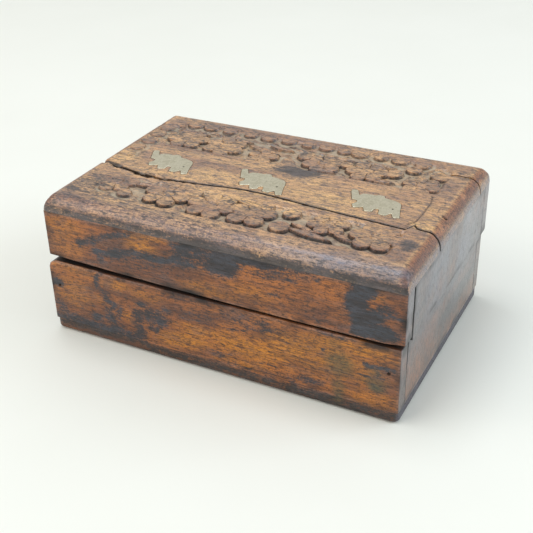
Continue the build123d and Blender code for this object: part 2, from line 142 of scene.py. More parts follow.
# Cracks: place along the top, how far the crack strays there and how wide it is.
FRONT_CRACK = [
    (-116.0, 8.0, 1.6), (-95.0, 2.0, 1.8), (-67.0, -2.2, 2.2), (-50.0, -1.2, 1.3), (-7.0, 4.2, 0.9),
    (45.0, 0.2, 0.9), (95.0, -3.5, 0.9), (98.0, 3.0, 0.9), (100.5, -0.2, 0.9), (116.0, -2.5, 1.0),
]
STRAIGHT_FROM = 94.0  # the chip at the right end of the crack has straight sides
BACK_CRACK = [(-116.0, 0.0, 0.6), (-60.0, 0.8, 0.6), (0.0, -0.4, 0.6), (60.0, 0.5, 0.6), (116.0, 0.0, 1.0)]
CARVING_DEPTH = 1.7
BETWEEN_DEPTH = 0.75  # the cut between two petals
FALLEN_DEPTH = 0.12
DISH_DEPTH = 0.16
RING_DEPTH = 0.6
VEIN_DEPTH = 0.5
CHISEL_DEPTH = 0.45
OUTER_BAND = 6.0  # the band along the top's outer edges whose rounding takes the place of wear
# Flowers: place, ring of petals, petal and turn. Petals: place and radius. Leaves: ends and width.
FRONT_FLOWERS = [
    (-84.4, 36.5, 9.0, 4.6, 15.0), (-47.4, 34.5, 10.5, 5.4, 52.0), (-16.4, 32.0, 10.5, 5.4, 55.0),
    (9.1, 32.0, 9.5, 5.6, 19.0), (54.6, 38.0, 8.0, 4.4, 20.0), (83.6, 35.0, 10.0, 5.4, 2.0),
]
BACK_FLOWERS = [
    (-79.4, 38.0, 9.5, 5.2, 10.0), (-51.4, 39.0, 9.5, 5.2, 40.0), (-21.4, 44.0, 6.8, 3.9, 18.0),
    (18.6, 38.0, 8.8, 4.9, 25.0), (48.6, 38.0, 9.2, 5.0, 10.0), (84.6, 44.0, 7.8, 4.4, 50.0),
]
FRONT_PETALS = [
    (-33.4, 41.0, 5.3), (12.6, 43.4, 5.5), (30.6, 41.3, 5.3), (30.6, 24.4, 6.0), (-72.2, 24.8, 4.4),
]
BACK_PETALS = [
    (-87.4, 14.0, 5.5), (-75.0, 14.4, 5.2), (-60.4, 14.6, 5.0), (-44.4, 14.4, 4.7), (-30.9, 14.6, 5.6),
    (-16.4, 13.8, 5.2), (-2.2, 14.8, 4.4), (10.6, 14.2, 5.0), (23.4, 14.5, 4.7), (34.2, 14.2, 5.9),
    (48.4, 14.4, 4.6), (61.2, 13.9, 5.9), (76.0, 14.6, 5.2), (4.4, 32.0, 5.8), (32.8, 34.0, 4.2),
    (64.2, 34.2, 5.6), (73.6, 24.4, 5.0), (91.2, 27.2, 6.0),
    (-102.4, 27.0, 5.0), (-103.0, 38.2, 5.2), (-102.2, 50.2, 5.5), (-103.6, 62.6, 4.7), (-104.0, 74.0, 4.8),
]
FRONT_LEAVES = [
    (-75.0, 37.6, -58.6, 41.2, 4.6), (-17.0, 49.4, 22.0, 37.6, 6.4), (34.6, 31.0, 52.0, 25.6, 3.6),
    (34.6, 25.2, 63.6, 20.4, 4.8), (60.0, 30.0, 74.0, 24.0, 3.8),
]
BACK_LEAVES = [
    (-37.6, 31.0, -12.4, 37.4, 5.6), (14.0, 47.6, 30.6, 48.4, 4.4), (-94.0, 26.4, -68.0, 27.6, 4.0),
    (-56.0, 27.6, -36.0, 27.0, 3.8), (-24.0, 27.0, -6.0, 28.6, 3.8), (14.0, 27.2, 38.0, 27.8, 4.0),
    (46.0, 27.0, 64.0, 27.4, 3.8), (54.0, 48.4, 69.0, 47.4, 4.4),
]
# Carved fields: left, right, near and far.
FIELDS = [(-95.0, 97.0, 15.5, 47.5), (-95.4, 98.0, 97.0, 139.0), (-109.4, -91.4, 70.0, 130.0)]
BUTTON_RADIUS = 3.0
BUTTON_GROOVE = 0.7
# Incised lines: points, width and depth.
PANEL_LINES = [
    ([(95.6, 94.0), (97.4, 86.0), (97.6, 70.0), (97.2, 60.0), (94.0, 55.5)], 0.9, 0.4),
    ([(-88.0, 95.0), (-74.0, 96.0), (-57.0, 96.5), (-37.0, 94.0)], 0.5, 0.3),
]

# The elephants: outline of one walking left with its trunk up, and their places.
ELEPHANT = [
    (3.0, 21.6), (7.6, 21.0), (11.8, 19.7), (13.9, 18.1), (14.8, 16.0), (16.2, 10.3), (19.0, 1.1),
    (15.6, 0.0), (12.8, 5.1), (10.4, 0.8), (6.2, 1.3), (5.2, 5.6), (4.4, 7.1), (1.9, 6.6), (2.0, 2.6),
    (-2.2, 1.3), (-4.6, 6.2), (-6.2, 4.9), (-9.8, 3.2), (-12.0, 7.0), (-10.2, 10.3), (-10.8, 12.8),
    (-14.6, 13.4), (-15.2, 15.0), (-16.6, 18.2), (-18.4, 22.0), (-19.0, 24.8), (-15.5, 25.6),
    (-13.2, 21.5), (-12.2, 19.4), (-11.0, 22.2), (-8.0, 22.9), (-3.0, 22.8), (-2.2, 24.1), (1.8, 24.1),
]
ELEPHANTS = {"left": (-70.4, 60.4), "middle": (-4.4, 58.3), "right": (68.6, 58.8)}
ELEPHANT_REACH = (22.0, 16.0)  # a little more than half its length and height
ELEPHANT_MIDDLE = 12.0
CUT_CORNER = 0.5
INLAY_GAP = 0.22
POCKET_DEPTH = 0.9

# The figure of the wood and its stains. On the front, places are from the base's middle and
# above the floor; on the top, from the middle and from the front edge. Lines have half a width
# and a strength; spots have half sizes, a strength and, where they are turned, an angle.
FRONT_DARK = [
    ([(-88, 68), (-81, 70), (-75, 73), (-70, 75.5)], 2.8, 0.8),
    ([(-72, 75), (-62, 78.5), (-53, 80.5)], 3.0, 0.8),
    (
        [(-76, 64.5), (-60, 66.5), (-52, 69.5), (-38, 68.5), (-28, 69.5), (-18, 74), (-6, 79), (2, 81)],
        2.8, 0.95,
    ),
    ([(-27, 85), (-23, 80.5), (-17, 79)], 2.4, 0.85),
    ([(60, 58.5), (63, 56.5), (67, 53.5)], 0.6, 0.7),
    ([(107, 69), (115, 69)], 0.9, 1.0),
    (
        [(-76, 50), (-79, 46), (-79, 41), (-76, 36), (-72.5, 32), (-69.5, 29.5), (-70, 24), (-72, 18)],
        2.9, 0.85,
    ),
    ([(-42, 20), (-40, 16.5), (-38.5, 20)], 1.2, 0.9),
    ([(-50, 31), (-30, 33), (-12, 34), (0, 33)], 1.0, 0.5),
    ([(-63, 27), (-65, 22), (-67, 17)], 2.0, 0.65),
    ([(-93, 20), (-84, 24)], 1.0, 0.45),
    ([(-116, 8), (-95, 9), (-80, 8.5), (-65, 9.5), (-50, 9)], 4.4, 0.9),
    ([(-50, 5), (0, 4.5), (60, 4.5), (115, 4)], 3.4, 0.8),
    ([(8, 33.5), (16, 34.5), (24, 38), (34, 39.3), (42, 41)], 1.2, 0.7),
    ([(0, 14), (10, 12.5)], 1.8, 0.6),
    ([(-5, 16), (20, 15), (50, 17)], 0.8, 0.6),
    ([(0, 19.5), (30, 19.5), (60, 21)], 0.6, 0.4),
    ([(10, 9.5), (40, 10)], 1.0, 0.6),
    ([(70, 48), (86, 48)], 1.2, 0.6),
    ([(97, 35), (111, 35)], 2.0, 0.85),
    ([(93, 27), (106, 27.5)], 1.0, 0.7),
    ([(48, 25), (80, 24)], 0.7, 0.4),
]
FRONT_BLOTS = [
    (-76, 73.5, 6, 3.5, 0.8), (-73, 61, 4.5, 7, 0.65), (-48, 62.5, 28, 6, 0.5), (-10, 80, 18, 8, 1.1),
    (-12, 71.5, 17, 5, 0.85, 10), (8, 76, 15, 10, 1.4), (22, 82, 28, 5, 1.3), (45, 83, 26, 4, 0.8),
    (40, 77, 20, 4, 0.6, 8), (52, 77, 7, 3, 0.7), (40, 64, 6, 2, 0.6), (67, 81, 4, 2.5, 0.7),
    (93, 81, 9, 7, 1.5), (89, 72, 7, 10, 1.5), (97, 66, 12, 5.5, 1.5), (101, 57, 17, 6, 1.6),
    (105, 72, 7, 4, 0.8), (91, 60, 7, 9, 1.5), (-62, 48, 4, 1.5, 0.6), (-40, 28, 15, 8, 0.9),
    (-47, 34, 6, 2.8, 0.7), (-30, 34.5, 7, 2.4, 0.7), (-52, 27, 7, 5, 0.85, -25), (-51, 16, 6, 11, 0.95),
    (-42, 19, 5, 4, 0.8), (-71.5, 18, 4.5, 6, 0.95), (-82, 15, 6.5, 6, 1, 20), (-75, 24, 3, 6, 0.6),
    (-97, 12, 11, 3, 0.8), (-67, 12, 9, 4, 0.9), (-110, 17, 6, 9, 0.7), (-111, 34.5, 5.5, 4, 1),
    (20, 42, 36, 7, 0.45), (-10, 38, 17, 6, 0.42), (33, 43, 15, 4, 0.6), (0, 46, 60, 4, 0.32),
    (61, 13.5, 12, 3.2, 0.85), (51, 11, 4, 5, 0.65), (70.5, 38, 1.8, 3.2, 0.8), (101, 31, 6, 5, 0.5),
    (101.5, 20.5, 5.5, 3.2, 0.7), (112.5, 46, 2, 1.2, 1), (80, 7, 4.5, 5, 0.7), (112, 6, 4, 1.6, 1, 20),
]
FRONT_GOLD = [
    (-45, 77, 13, 8, 1), (-38, 82, 15, 3.5, 0.8), (-100, 76, 15, 8, 0.5), (-20, 17, 23, 6.5, 1, 8),
    (-8, 26, 19, 5.5, 0.9), (25, 24, 34, 9.5, 1), (50, 33, 24, 10, 1, 8), (70, 40, 22, 8, 0.8),
    (95, 44, 22, 7, 0.9), (100, 12, 18, 9, 0.5), (20, 13, 22, 4.5, 0.7), (-95, 46, 20, 4, 0.4),
    (-97, 48.2, 19, 1.6, 1), (-98, 30, 17, 12, 0.6), (-98, 64, 16, 9, 0.4), (-65, 43, 11, 5.5, 0.7),
    (-58, 23, 6, 5, 0.5), (-45, 42, 17, 5, 0.45), (0, 57, 24, 5, 0.5), (25, 62, 18, 6, 0.4),
    (78, 30, 36, 16, 0.65), (-80, 30, 8, 5, 0.4), (100, 79, 6, 4, 0.5),
]
FRONT_STAIN = [
    (80.5, 31.5, 9.5, 9, 0.95), (80, 13, 4.5, 12, 0.8), (101, 24, 7, 3.5, 0.75), (101.5, 20.5, 6, 3.4, 1),
    (78, 43, 6, 5, 0.45), (100, 31, 6, 4, 0.55),
]
TOP_DARK = [
    (11, 93, 19, 10.5, 1.2, 6), (104, 33, 9, 8.5, 0.85, -20), (-104, 16.5, 12, 4, 0.85),
    (-87, 38, 13, 7, 0.6), (-72, 14, 16, 2.6, 0.6), (-75, 33, 9, 5, 0.5), (-45, 125, 52, 15, 0.42),
    (20, 118, 15, 9, 0.6), (40, 120, 24, 9, 0.5), (75, 112, 12, 9, 0.6), (-10, 128, 11, 9, 0.6),
    (-60, 138, 60, 6, 0.45), (60, 143, 60, 4, 0.45), (2, 120, 6, 10, 0.7), (-2, 103, 6, 5, 0.6),
    (-5, 15, 18, 4, 0.4), (-95, 118, 16, 20, 0.5), (-98, 30, 20, 20, 0.65), (-76, 18, 30, 9, 0.65),
    (-95, 6, 30, 5, 0.7), (-60, 104, 44, 8, 0.4), (95, 112, 14, 16, 0.4), (108, 130, 8, 12, 0.5),
]
TOP_STREAKS = [
    ([(-114, 14), (-96, 19), (-74, 14), (-40, 12), (0, 10)], 2.6, 0.55),
    ([(-110, 7), (-70, 8), (-20, 6), (30, 7)], 1.8, 0.5),
    ([(-8, 20), (34, 15), (84, 12)], 1.6, 0.4),
    ([(103, 97), (107, 86), (108, 72), (110, 62), (113, 54)], 0.7, 0.6),
]
TOP_GOLD = [
    (-100, 70, 11, 12, 0.9), (-35, 66, 22, 11, 0.8), (-60, 57, 42, 4, 0.65), (45, 66, 52, 9, 0.7),
    (30, 55, 62, 5, 0.85), (103, 56, 9, 5, 1, -15), (104, 62, 6, 9, 0.6), (-10, 44, 32, 6, 0.85, -5),
    (30, 42, 7, 6, 0.8), (-30, 38, 6, 6, 0.6), (60, 40, 22, 7, 0.55), (-40, 90, 42, 5, 0.5),
    (20, 84, 16, 7, 0.5), (-25, 3, 62, 2.5, 0.5), (-50, 30, 24, 8, 0.45), (84, 33, 12, 10, 0.4),
]


def smooth(low, high, value):
    """0 below low, 1 above high and a soft step between them."""
    t = np.clip((value - low) / (high - low), 0.0, 1.0)
    return t * t * (3.0 - 2.0 * t)


def fade(low, high, value):
    """1 below low, 0 above high and a soft step between them."""
    return 1.0 - smooth(low, high, value)


LATTICE = 32
UNIT_CORNERS = list(itertools.product((0, 1), repeat=3))


def noise(points, cell, seed):
    """Soft noise from 0 to 1 with lumps of the size cell, one size or three."""
    table = np.random.default_rng(seed).random((LATTICE,) * 3)
    place = np.asarray(points) / np.asarray(cell, float)
    low = np.floor(place).astype(int)
    share = place - low
    share = share * share * (3.0 - 2.0 * share)
    total = np.zeros(len(place))
    for corner in UNIT_CORNERS:
        weight = np.prod(np.where(corner, share, 1.0 - share), axis=1)
        i, j, k = ((low + corner) % LATTICE).T
        total += weight * table[i, j, k]
    return total


def rough_noise(points, cell, seed, octaves=3):
    """Noise with finer noise on it, from 0 to 1."""
    total = np.zeros(len(points))
    weight = 0.0
    for octave in range(octaves):
        share = 0.5 ** octave
        total += share * noise(points, np.asarray(cell, float) * share, seed + octave)
        weight += share
    return total / weight


def patches(points, cell, seed, low, high):
    """1 where rough noise is above high, 0 where it is below low and soft between."""
    return smooth(low, high, rough_noise(points, cell, seed))


def grid_lines(low, high, step, round_low=0.0, round_high=0.0, extra=()):
    """Places of the grid lines along one axis, closer together where an end is rounded."""
    ring = 1.0 - np.cos(np.linspace(0.0, math.pi / 2, 6))
    middle_low = low + round_low
    middle_high = high - round_high
    count = max(2, int(round((middle_high - middle_low) / step)))
    rows = [np.linspace(middle_low, middle_high, count + 1), np.asarray(extra, float), [low, high]]
    if round_low:
        rows.append(low + round_low * ring)
    if round_high:
        rows.append(high - round_high * ring)
    return np.unique(np.clip(np.round(np.concatenate(rows), 4), low, high))


def closed_grid(xs, ys, zs):
    """Points and outward quads of a closed box whose sides carry the grid lines."""
    shape = (len(xs), len(ys), len(zs))
    outer = np.zeros(shape, bool)
    outer[[0, -1]] = True
    outer[:, [0, -1]] = True
    outer[:, :, [0, -1]] = True
    index = np.full(shape, -1)
    index[outer] = np.arange(outer.sum())
    points = np.stack(np.meshgrid(xs, ys, zs, indexing="ij"), -1)[outer]
    quads = []
    for axis in range(3):
        for side in (0, shape[axis] - 1):
            face = np.take(index, side, axis=axis)
            quad = np.stack([face[:-1, :-1], face[1:, :-1], face[1:, 1:], face[:-1, 1:]], -1).reshape(-1, 4)
            inward = (side == 0) != (axis == 1)
            quads.append(quad[:, ::-1] if inward else quad)
    return points, np.concatenate(quads)


def rounded(points, low, high, radii_low, radii_high, plan_power=2.0):
    """Points of a box moved inwards so that its edges are round, by a radius for each side."""
    low, high = np.asarray(low, float), np.asarray(high, float)
    inner_low = low + radii_low
    inner_high = high - radii_high
    nearest = np.clip(points, inner_low, inner_high)
    away = points - nearest
    radius = np.where(away < 0, np.maximum(radii_low, 1e-9), np.maximum(radii_high, 1e-9))
    t = np.abs(away) / radius
    plan = (t[:, 0] ** plan_power + t[:, 1] ** plan_power) ** (1.0 / plan_power)
    length = np.maximum(np.hypot(plan, t[:, 2]), 1e-9)
    largest = np.max(t, axis=1)
    share = np.where(largest > 0, largest / length, 1.0)
    return nearest + away * share[:, None]


def rounded_box(low, high, radii_low, radii_high, steps, extra=((), (), ())):
    """The even grid of a closed box, its quads, and its points with the edges rounded."""
    lines = [grid_lines(*row) for row in zip(low, high, steps, radii_low, radii_high, extra)]
    grid, quads = closed_grid(*lines)
    return grid, quads, rounded(grid, low, high, radii_low, radii_high)


def make_piece(name, points, quads, fields, material, body, nodes, ends=None):
    """One visible piece: its mesh, what its finish reads, and the body that carries it.

    Ends are a second finish and which points lie on the faces that have it.
    """
    mesh = bpy.data.meshes.new(name)
    mesh.vertices.add(len(points))
    mesh.vertices.foreach_set("co", (points * MM).astype(np.float32).ravel())
    mesh.loops.add(quads.size)
    mesh.loops.foreach_set("vertex_index", quads.astype(np.int32).ravel())
    mesh.polygons.add(len(quads))
    mesh.polygons.foreach_set("loop_start", np.arange(0, quads.size, 4, dtype=np.int32))
    mesh.update(calc_edges=True)
    mesh.polygons.foreach_set("use_smooth", np.ones(len(quads), bool))
    mesh.set_sharp_from_angle(angle=math.radians(SMOOTH_ANGLE))
    for key, values in fields.items():
        attribute = mesh.attributes.new(key, "FLOAT", "POINT")
        attribute.data.foreach_set("value", np.asarray(values, np.float32))
    mesh.materials.append(material)
    if ends is not None:
        mesh.materials.append(ends[0])
        mesh.polygons.foreach_set("material_index", ends[1][quads].all(axis=1).astype(np.int32))
    piece = bpy.data.objects.new(name, mesh)
    bpy.context.scene.collection.objects.link(piece)
    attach(piece, body)
    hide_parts(*nodes)
    return piece


def spots(u, v, table):
    """The strongest at each place of some soft ellipses."""
    total = np.zeros_like(u)
    for x, y, half_x, half_y, strength, *turn in table:
        angle = math.radians(sum(turn))
        c, s = math.cos(angle), math.sin(angle)
        along = ((u - x) * c + (v - y) * s) / half_x
        across = ((v - y) * c - (u - x) * s) / half_y
        total = np.maximum(total, strength * fade(0.25, 1.3, np.hypot(along, across)))
    return total


def from_line(u, v, line):
    """Distance to a line through points."""
    best = np.full_like(u, np.inf)
    for (x1, y1), (x2, y2) in zip(line, line[1:]):
        dx, dy = x2 - x1, y2 - y1
        share = np.clip(((u - x1) * dx + (v - y1) * dy) / (dx * dx + dy * dy), 0.0, 1.0)
        best = np.minimum(best, np.hypot(u - x1 - share * dx, v - y1 - share * dy))
    return best


def streaks(u, v, table):
    """The strongest at each place of some soft lines: points, half width and strength."""
    total = np.zeros_like(u)
    for line, half_width, strength in table:
        near = fade(0.2, 1.6, from_line(u, v, line) / half_width)
        total = np.maximum(total, strength * near)
    return total


def figure_fields(points, seed):
    """Dark figure, gold and stain: as seen on the front, and from noise alone away from it."""
    drift = np.stack([noise(points, (7.0, 7.0, 4.0), seed + k) - 0.5 for k in range(2)], -1)
    u = points[:, 0] - BASE_X + 5.0 * drift[:, 0]
    v = points[:, 2] + 2.4 * drift[:, 1]
    front = fade(0.5, 3.0, points[:, 1] - FRONT_Y)
    dark = np.maximum(spots(u, v, FRONT_BLOTS), streaks(u, v, FRONT_DARK))
    loose = patches(points, (60.0, 60.0, 9.0), seed + 5, 0.5, 0.8)
    warm = patches(points, (50.0, 50.0, 12.0), seed + 9, 0.5, 0.8)
    return {
        "dark": front * dark + (1.0 - front) * 0.75 * loose,
        "gold": front * spots(u, v, FRONT_GOLD) + (1.0 - front) * 0.6 * warm,
        "stain_and_shade": front * spots(u, v, FRONT_STAIN),
    }


def wear_fields(points, low, high, seed):
    """Rubbed edges and dirty corners of a board, by how near its edges are."""
    edge = np.sort(np.minimum(points - low, high - points), axis=1)[:, 1]
    patchy = rough_noise(points, (14.0, 14.0, 8.0), seed)
    worn = fade(0.4, 2.4, edge) * smooth(0.35, 0.7, patchy)
    return {"wear": 0.5 * worn, "grime_and_shade": fade(0.5, 5.0, edge) * smooth(0.4, 0.75, 1.0 - patchy)}


def rim_gap_shade(points, low, high, outer, body):
    """Painted shade on the faces that meet in the gap between lid and base, from a little inside the edge.
    """
    axis, side = outer
    inward = smooth(0.5, 2.2, np.abs(points[:, axis] - (low, high)[side][axis]))
    meeting = high[2] if body == "base" else low[2]
    return GAP_SHADE * inward * fade(1.5, 9.0, np.abs(points[:, 2] - meeting))


def dents(points, seed, depth=0.16):
    """How far an old surface lies below the flat, in millimetres."""
    broad = rough_noise(points, (34.0, 34.0, 12.0), seed)
    small = patches(points, (7.0, 7.0, 3.0), seed + 4, 0.72, 0.86)
    return depth * broad + 0.22 * small


def pit(points, places, axes, radius, depth):
    """Depth of round pits at some places, measured across two axes."""
    total = np.zeros(len(points))
    for place in places:
        away = np.hypot(points[:, axes[0]] - place[0], points[:, axes[1]] - place[1])
        total = np.maximum(total, depth * fade(radius - 0.12, radius + 0.12, away))
    return total


def near_lines(places, reach=3.0, step=0.45):
    """Closer grid lines around some places."""
    return np.concatenate([np.arange(place - reach, place + reach + step / 2, step) for place in places])


def corner_nail_places(body):
    """Where the nails of a long board are, along it and above the floor."""
    return [(BODY_X[body] + way * (HALF_LENGTH - NAIL_FROM_END), NAIL_Z[body]) for way in (-1, 1)]


def push_in(points, low, high, amount, sides):
    """Moves what lies on the named sides (axis, 0 low or 1 high) inwards, less near the edges."""
    moved = points.copy()
    for axis, side in sides:
        share = fade(0.0, 0.6, np.abs(points[:, axis] - (low, high)[side][axis]))
        moved[:, axis] += (1.0, -1.0)[side] * amount * share
    return moved


def worn_rim(points, low, high):
    """The base's front rim, rubbed off at a slant along its left end and most at the corner."""
    below = high[2] - points[:, 2]
    slant = RIM_SLANT * fade(0.0, RIM_SLANT_HEIGHT, below)
    slant *= fade(RIM_SLANT_END - 8.0, RIM_SLANT_END, points[:, 0] - BASE_X)
    worn = points.copy()
    worn[:, 1] += slant * fade(0.0, 3.0, points[:, 1] - low[1])
    worn[:, 2] -= CORNER_DROP * fade(0.0, 5.0, points[:, 0] - low[0]) * fade(0.0, 9.0, below)
    return worn


def rim_at_back(points, rim_z, way):
    """Cuts the back rim at rim_z: the groove, the let-ins and room for the knuckles.

    Way is 1 for the base's rim, cut from above, and -1 for the lid's, cut from below.
    """
    behind = points[:, 1] - HINGE_Y
    limit = np.where(behind > 0, -behind * GROOVE_DROP / (BACK_Y - HINGE_Y), 0.0)
    round_way = np.sqrt(np.maximum(KNUCKLE_WAY ** 2 - behind ** 2, 0.0)) - abs(rim_z - HINGE_Z)
    for x in HINGES:
        away = np.abs(points[:, 0] - x)
        let_in = (away < LEAF_SIDE) & (behind > -LEAF_DEPTH)
        limit = np.where(let_in, np.minimum(limit, -LEAF_SINK), limit)
        in_way = (away < LEAF_SIDE + KNUCKLE_ROOM) & (np.abs(behind) < KNUCKLE_WAY)
        limit = np.where(in_way, np.minimum(limit, -round_way), limit)
    shaped = points.copy()
    shaped[:, 2] -= way * np.maximum(way * (points[:, 2] - rim_z) - limit, 0.0)
    return shaped


def painted_side_sheen(points):
    """The painted blue-grey sheen on the ends and the side boards: stronger higher up, in patches."""
    thick = patches(points, (26.0, 16.0, 60.0), 260, 0.3, 0.62)
    return (0.1 + 0.8 * smooth(18.0, 58.0, points[:, 2])) * (0.4 + 0.6 * thick)


def board_fields(points, grid, low, high, outer, body, seed, dirt_and_shade):
    """Figure, wear, painted sheen, dirt and painted shade of a board of the walls; dirt_and_shade is the
    dirt its nails hold and the painted shade of its joints.
    """
    fields = figure_fields(points, seed + 20)
    fields.update(wear_fields(grid, low, high, seed + 40))
    # Dirt, with painted shade in the gap between lid and base and in the joints
    fields["grime_and_shade"] = np.max([fields["grime_and_shade"], rim_gap_shade(grid, low, high, outer, body), dirt_and_shade], axis=0)
    fields["dust"] = np.zeros(len(points))
    fields["painted_sheen"] = painted_side_sheen(points)
    return fields


def hinge_lines():
    """Closer grid lines on a back board, along it at the hinges and across it at the groove."""
    ways = (-1, 1)
    sides = [x + way * (LEAF_SIDE + room) for x in HINGES for way in ways for room in (0.0, KNUCKLE_ROOM)]
    ends = [HINGE_Y - LEAF_DEPTH + way * STEP_GAP for way in ways]
    across = np.concatenate([ends, np.linspace(HINGE_Y - KNUCKLE_WAY, BACK_Y, 12)])
    return [side + way * STEP_GAP for side in sides for way in ways], across


def long_board(side, body, finishes, seed, lower_edge=None, rubbed=False, filled=False):
    """A front or back board. Its lower edge may be curved, its rim rubbed and its nail holes filled."""
    low, high = corners(body + "_" + side)
    if lower_edge is not None:
        low[2] = LID_BOTTOM
    at_front = side == "front"
    nail_places = corner_nail_places(body)
    extra_x, extra_y = near_lines([x for x, _ in nail_places]), ()
    if not at_front:
        at_hinges, extra_y = hinge_lines()
        extra_x = np.concatenate([extra_x, at_hinges])
    radii_low = np.array([OUTER_CORNER, OUTER_CORNER, WORN_EDGE])
    radii_high = radii_low.copy()
    (radii_high if at_front else radii_low)[1] = INNER_EDGE
    (radii_low if body == "base" else radii_high)[2] = JOINT_EDGE
    extra = (extra_x, extra_y, near_lines([NAIL_Z[body]]))
    grid, quads, points = rounded_box(low, high, radii_low, radii_high, LONG_STEPS, extra)
    outer = (1, 0 if at_front else 1)
    points = push_in(points, low, high, dents(grid, seed), [outer, (0, 0), (0, 1)])
    nails = pit(grid, nail_places, (0, 2), NAIL_PIT, FILLED_DEPTH if filled else NAIL_PIT_DEPTH)
    points = push_in(points, low, high, nails, [outer])
    if rubbed:
        points = worn_rim(points, low, high)
    if not at_front:
        points = rim_at_back(points, high[2], 1.0) if body == "base" else rim_at_back(points, low[2], -1.0)
    if lower_edge is not None:
        rise = lower_edge(points[:, 0]) - low[2]
        points[:, 2] += rise * (high[2] - points[:, 2]) / (high[2] - low[2])
    inner_face = np.abs(grid[:, 1] - (high[1] if at_front else low[1])) < 0.5
    to_end = np.minimum(grid[:, 0] - low[0], high[0] - grid[:, 0])
    joint = inner_face & (to_end < END_WALL) & (to_end > WORN_EDGE)
    # Painted shade in the joints at the ends of the inner face, and dirt in the nail holes
    dirt_and_shade = np.maximum(GAP_SHADE * joint, nails / NAIL_PIT_DEPTH)
    fields = board_fields(points, grid, low, high, outer, body, seed, dirt_and_shade)
    if at_front:
        on_front = grid[:, 1] < low[1] + ON_FACE
        fields["grime_and_shade"] *= 1.0 - fade(0.0, 4.0, points[:, 2] - BOTTOM_TOP) * on_front
    # The painted sheen stays only on the board's end faces.
    fields["painted_sheen"] *= fade(0.0, WORN_EDGE, to_end)
    ends = (finishes[1], to_end < ON_FACE)
    name, nodes = side + "_of_" + body, [body + "_" + side]
    return make_piece(name, points, quads, fields, finishes[0], body, nodes, ends)


def side_board(side, body, finish, seed, gap=None):
    """A left or right board, with an open joint at its front end where gap says so."""
    low, high = corners(body + "_" + side)
    if gap is not None:
        low[1] = FRONT_Y + LONG_WALL
    radii_low = np.array([RIM_EDGE, INNER_EDGE, RIM_EDGE])
    radii_high = radii_low.copy()
    (radii_low if body == "base" else radii_high)[2] = JOINT_EDGE
    grid, quads, points = rounded_box(low, high, radii_low, radii_high, SIDE_STEPS)
    outer = (0, 0 if side == "left" else 1)
    points = push_in(points, low, high, dents(grid, seed), [outer])
    if gap is not None:
        points[:, 1] += gap(points[:, 2]) * (high[1] - points[:, 1]) / (high[1] - low[1])
    # Painted shade in the joints at the board's front and back ends
    joint = fade(0.1, 0.6, np.minimum(grid[:, 1] - low[1], high[1] - grid[:, 1]))
    fields = board_fields(points, grid, low, high, outer, body, seed, GAP_SHADE * joint)
    height = points[:, 2]
    front_low = fade(20.0, 48.0, height) * fade(40.0, 110.0, points[:, 1] - FRONT_Y)
    low_gold = np.maximum(0.9 * front_low, 0.6 * fade(12.0, 34.0, height))
    low_gold *= patches(points, (9.0, 9.0, 14.0), 265, 0.2, 0.55)
    fields["gold"] = np.maximum(fields["gold"], low_gold)
    # The painted sheen fades out towards the floor.
    fields["painted_sheen"] *= smooth(2.0, 26.0, height)
    name, nodes = side + "_of_" + body, [body + "_" + side]
    return make_piece(name, points, quads, fields, finish, body, nodes)


def bottom_board(finish):
    """The thin bottom, its corners and lower edge rounded."""
    low, high = corners("bottom_board")
    low[:2] -= BOTTOM_SPREAD
    high[:2] += BOTTOM_SPREAD
    nails_x = [BASE_X + x for x in BOTTOM_NAIL_X]
    nails_y = [FRONT_Y + LONG_WALL / 2, BACK_Y - LONG_WALL / 2]
    radii_low = np.array([BOTTOM_CORNER, BOTTOM_CORNER, BOTTOM_EDGE])
    radii_high = np.array([BOTTOM_CORNER, BOTTOM_CORNER, 0.0])
    extra = (near_lines(nails_x), near_lines(nails_y), ())
    grid, quads, points = rounded_box(low, high, radii_low, radii_high, BOTTOM_STEPS, extra)
    nails = pit(grid, list(itertools.product(nails_x, nails_y)), (0, 1), NAIL_PIT, BOTTOM_NAIL_SINK)
    points = push_in(points, low, high, nails, [(2, 0)])
    height = points[:, 2]
    fields = figure_fields(points, 320)
    fields.update(wear_fields(grid, low, high, 340))
    low_edge = 0.7 * fade(0.5, 4.5, height) * patches(points, (30.0, 30.0, 6.0), 352, 0.2, 0.7)
    fields["grime_and_shade"] = np.maximum(low_edge, nails / BOTTOM_NAIL_SINK)
    fields["wear"] *= 0.3
    fields["dust"] = np.where(height < 0.5, 0.35 * rough_noise(points, 20.0, 350), 0.0)
    at_end = fade(0.5, 2.0, np.minimum(points[:, 0] - low[0], high[0] - points[:, 0]))
    # The end faces are darker and carry a painted sheen like the sides.
    fields["painted_sheen"] = 0.7 * at_end
    fields["dark"] = np.maximum(fields["dark"], 0.8 * at_end)
    return make_piece("bottom", points, quads, fields, finish, "base", ["bottom_board"])


def crack_line(x, stations):
    """How far a crack strays at x and how wide it is: curved, and straight past STRAIGHT_FROM."""
    px, stray, width = np.array(stations).T
    curved_part = px <= STRAIGHT_FROM + 1.0
    slopes = np.zeros_like(px)
    slopes[curved_part] = np.gradient(stray[curved_part], px[curved_part])
    k = np.clip(np.searchsorted(px, x) - 1, 0, len(px) - 2)
    span = px[k + 1] - px[k]
    t = np.clip((x - px[k]) / span, 0.0, 1.0)
    curved = (2 * t ** 3 - 3 * t ** 2 + 1) * stray[k] + (t ** 3 - 2 * t ** 2 + t) * span * slopes[k]
    curved += (3 * t ** 2 - 2 * t ** 3) * stray[k + 1] + (t ** 3 - t ** 2) * span * slopes[k + 1]
    straight = np.interp(x, px, stray)
    return np.where(x > STRAIGHT_FROM, straight, curved), np.interp(x, px, width)


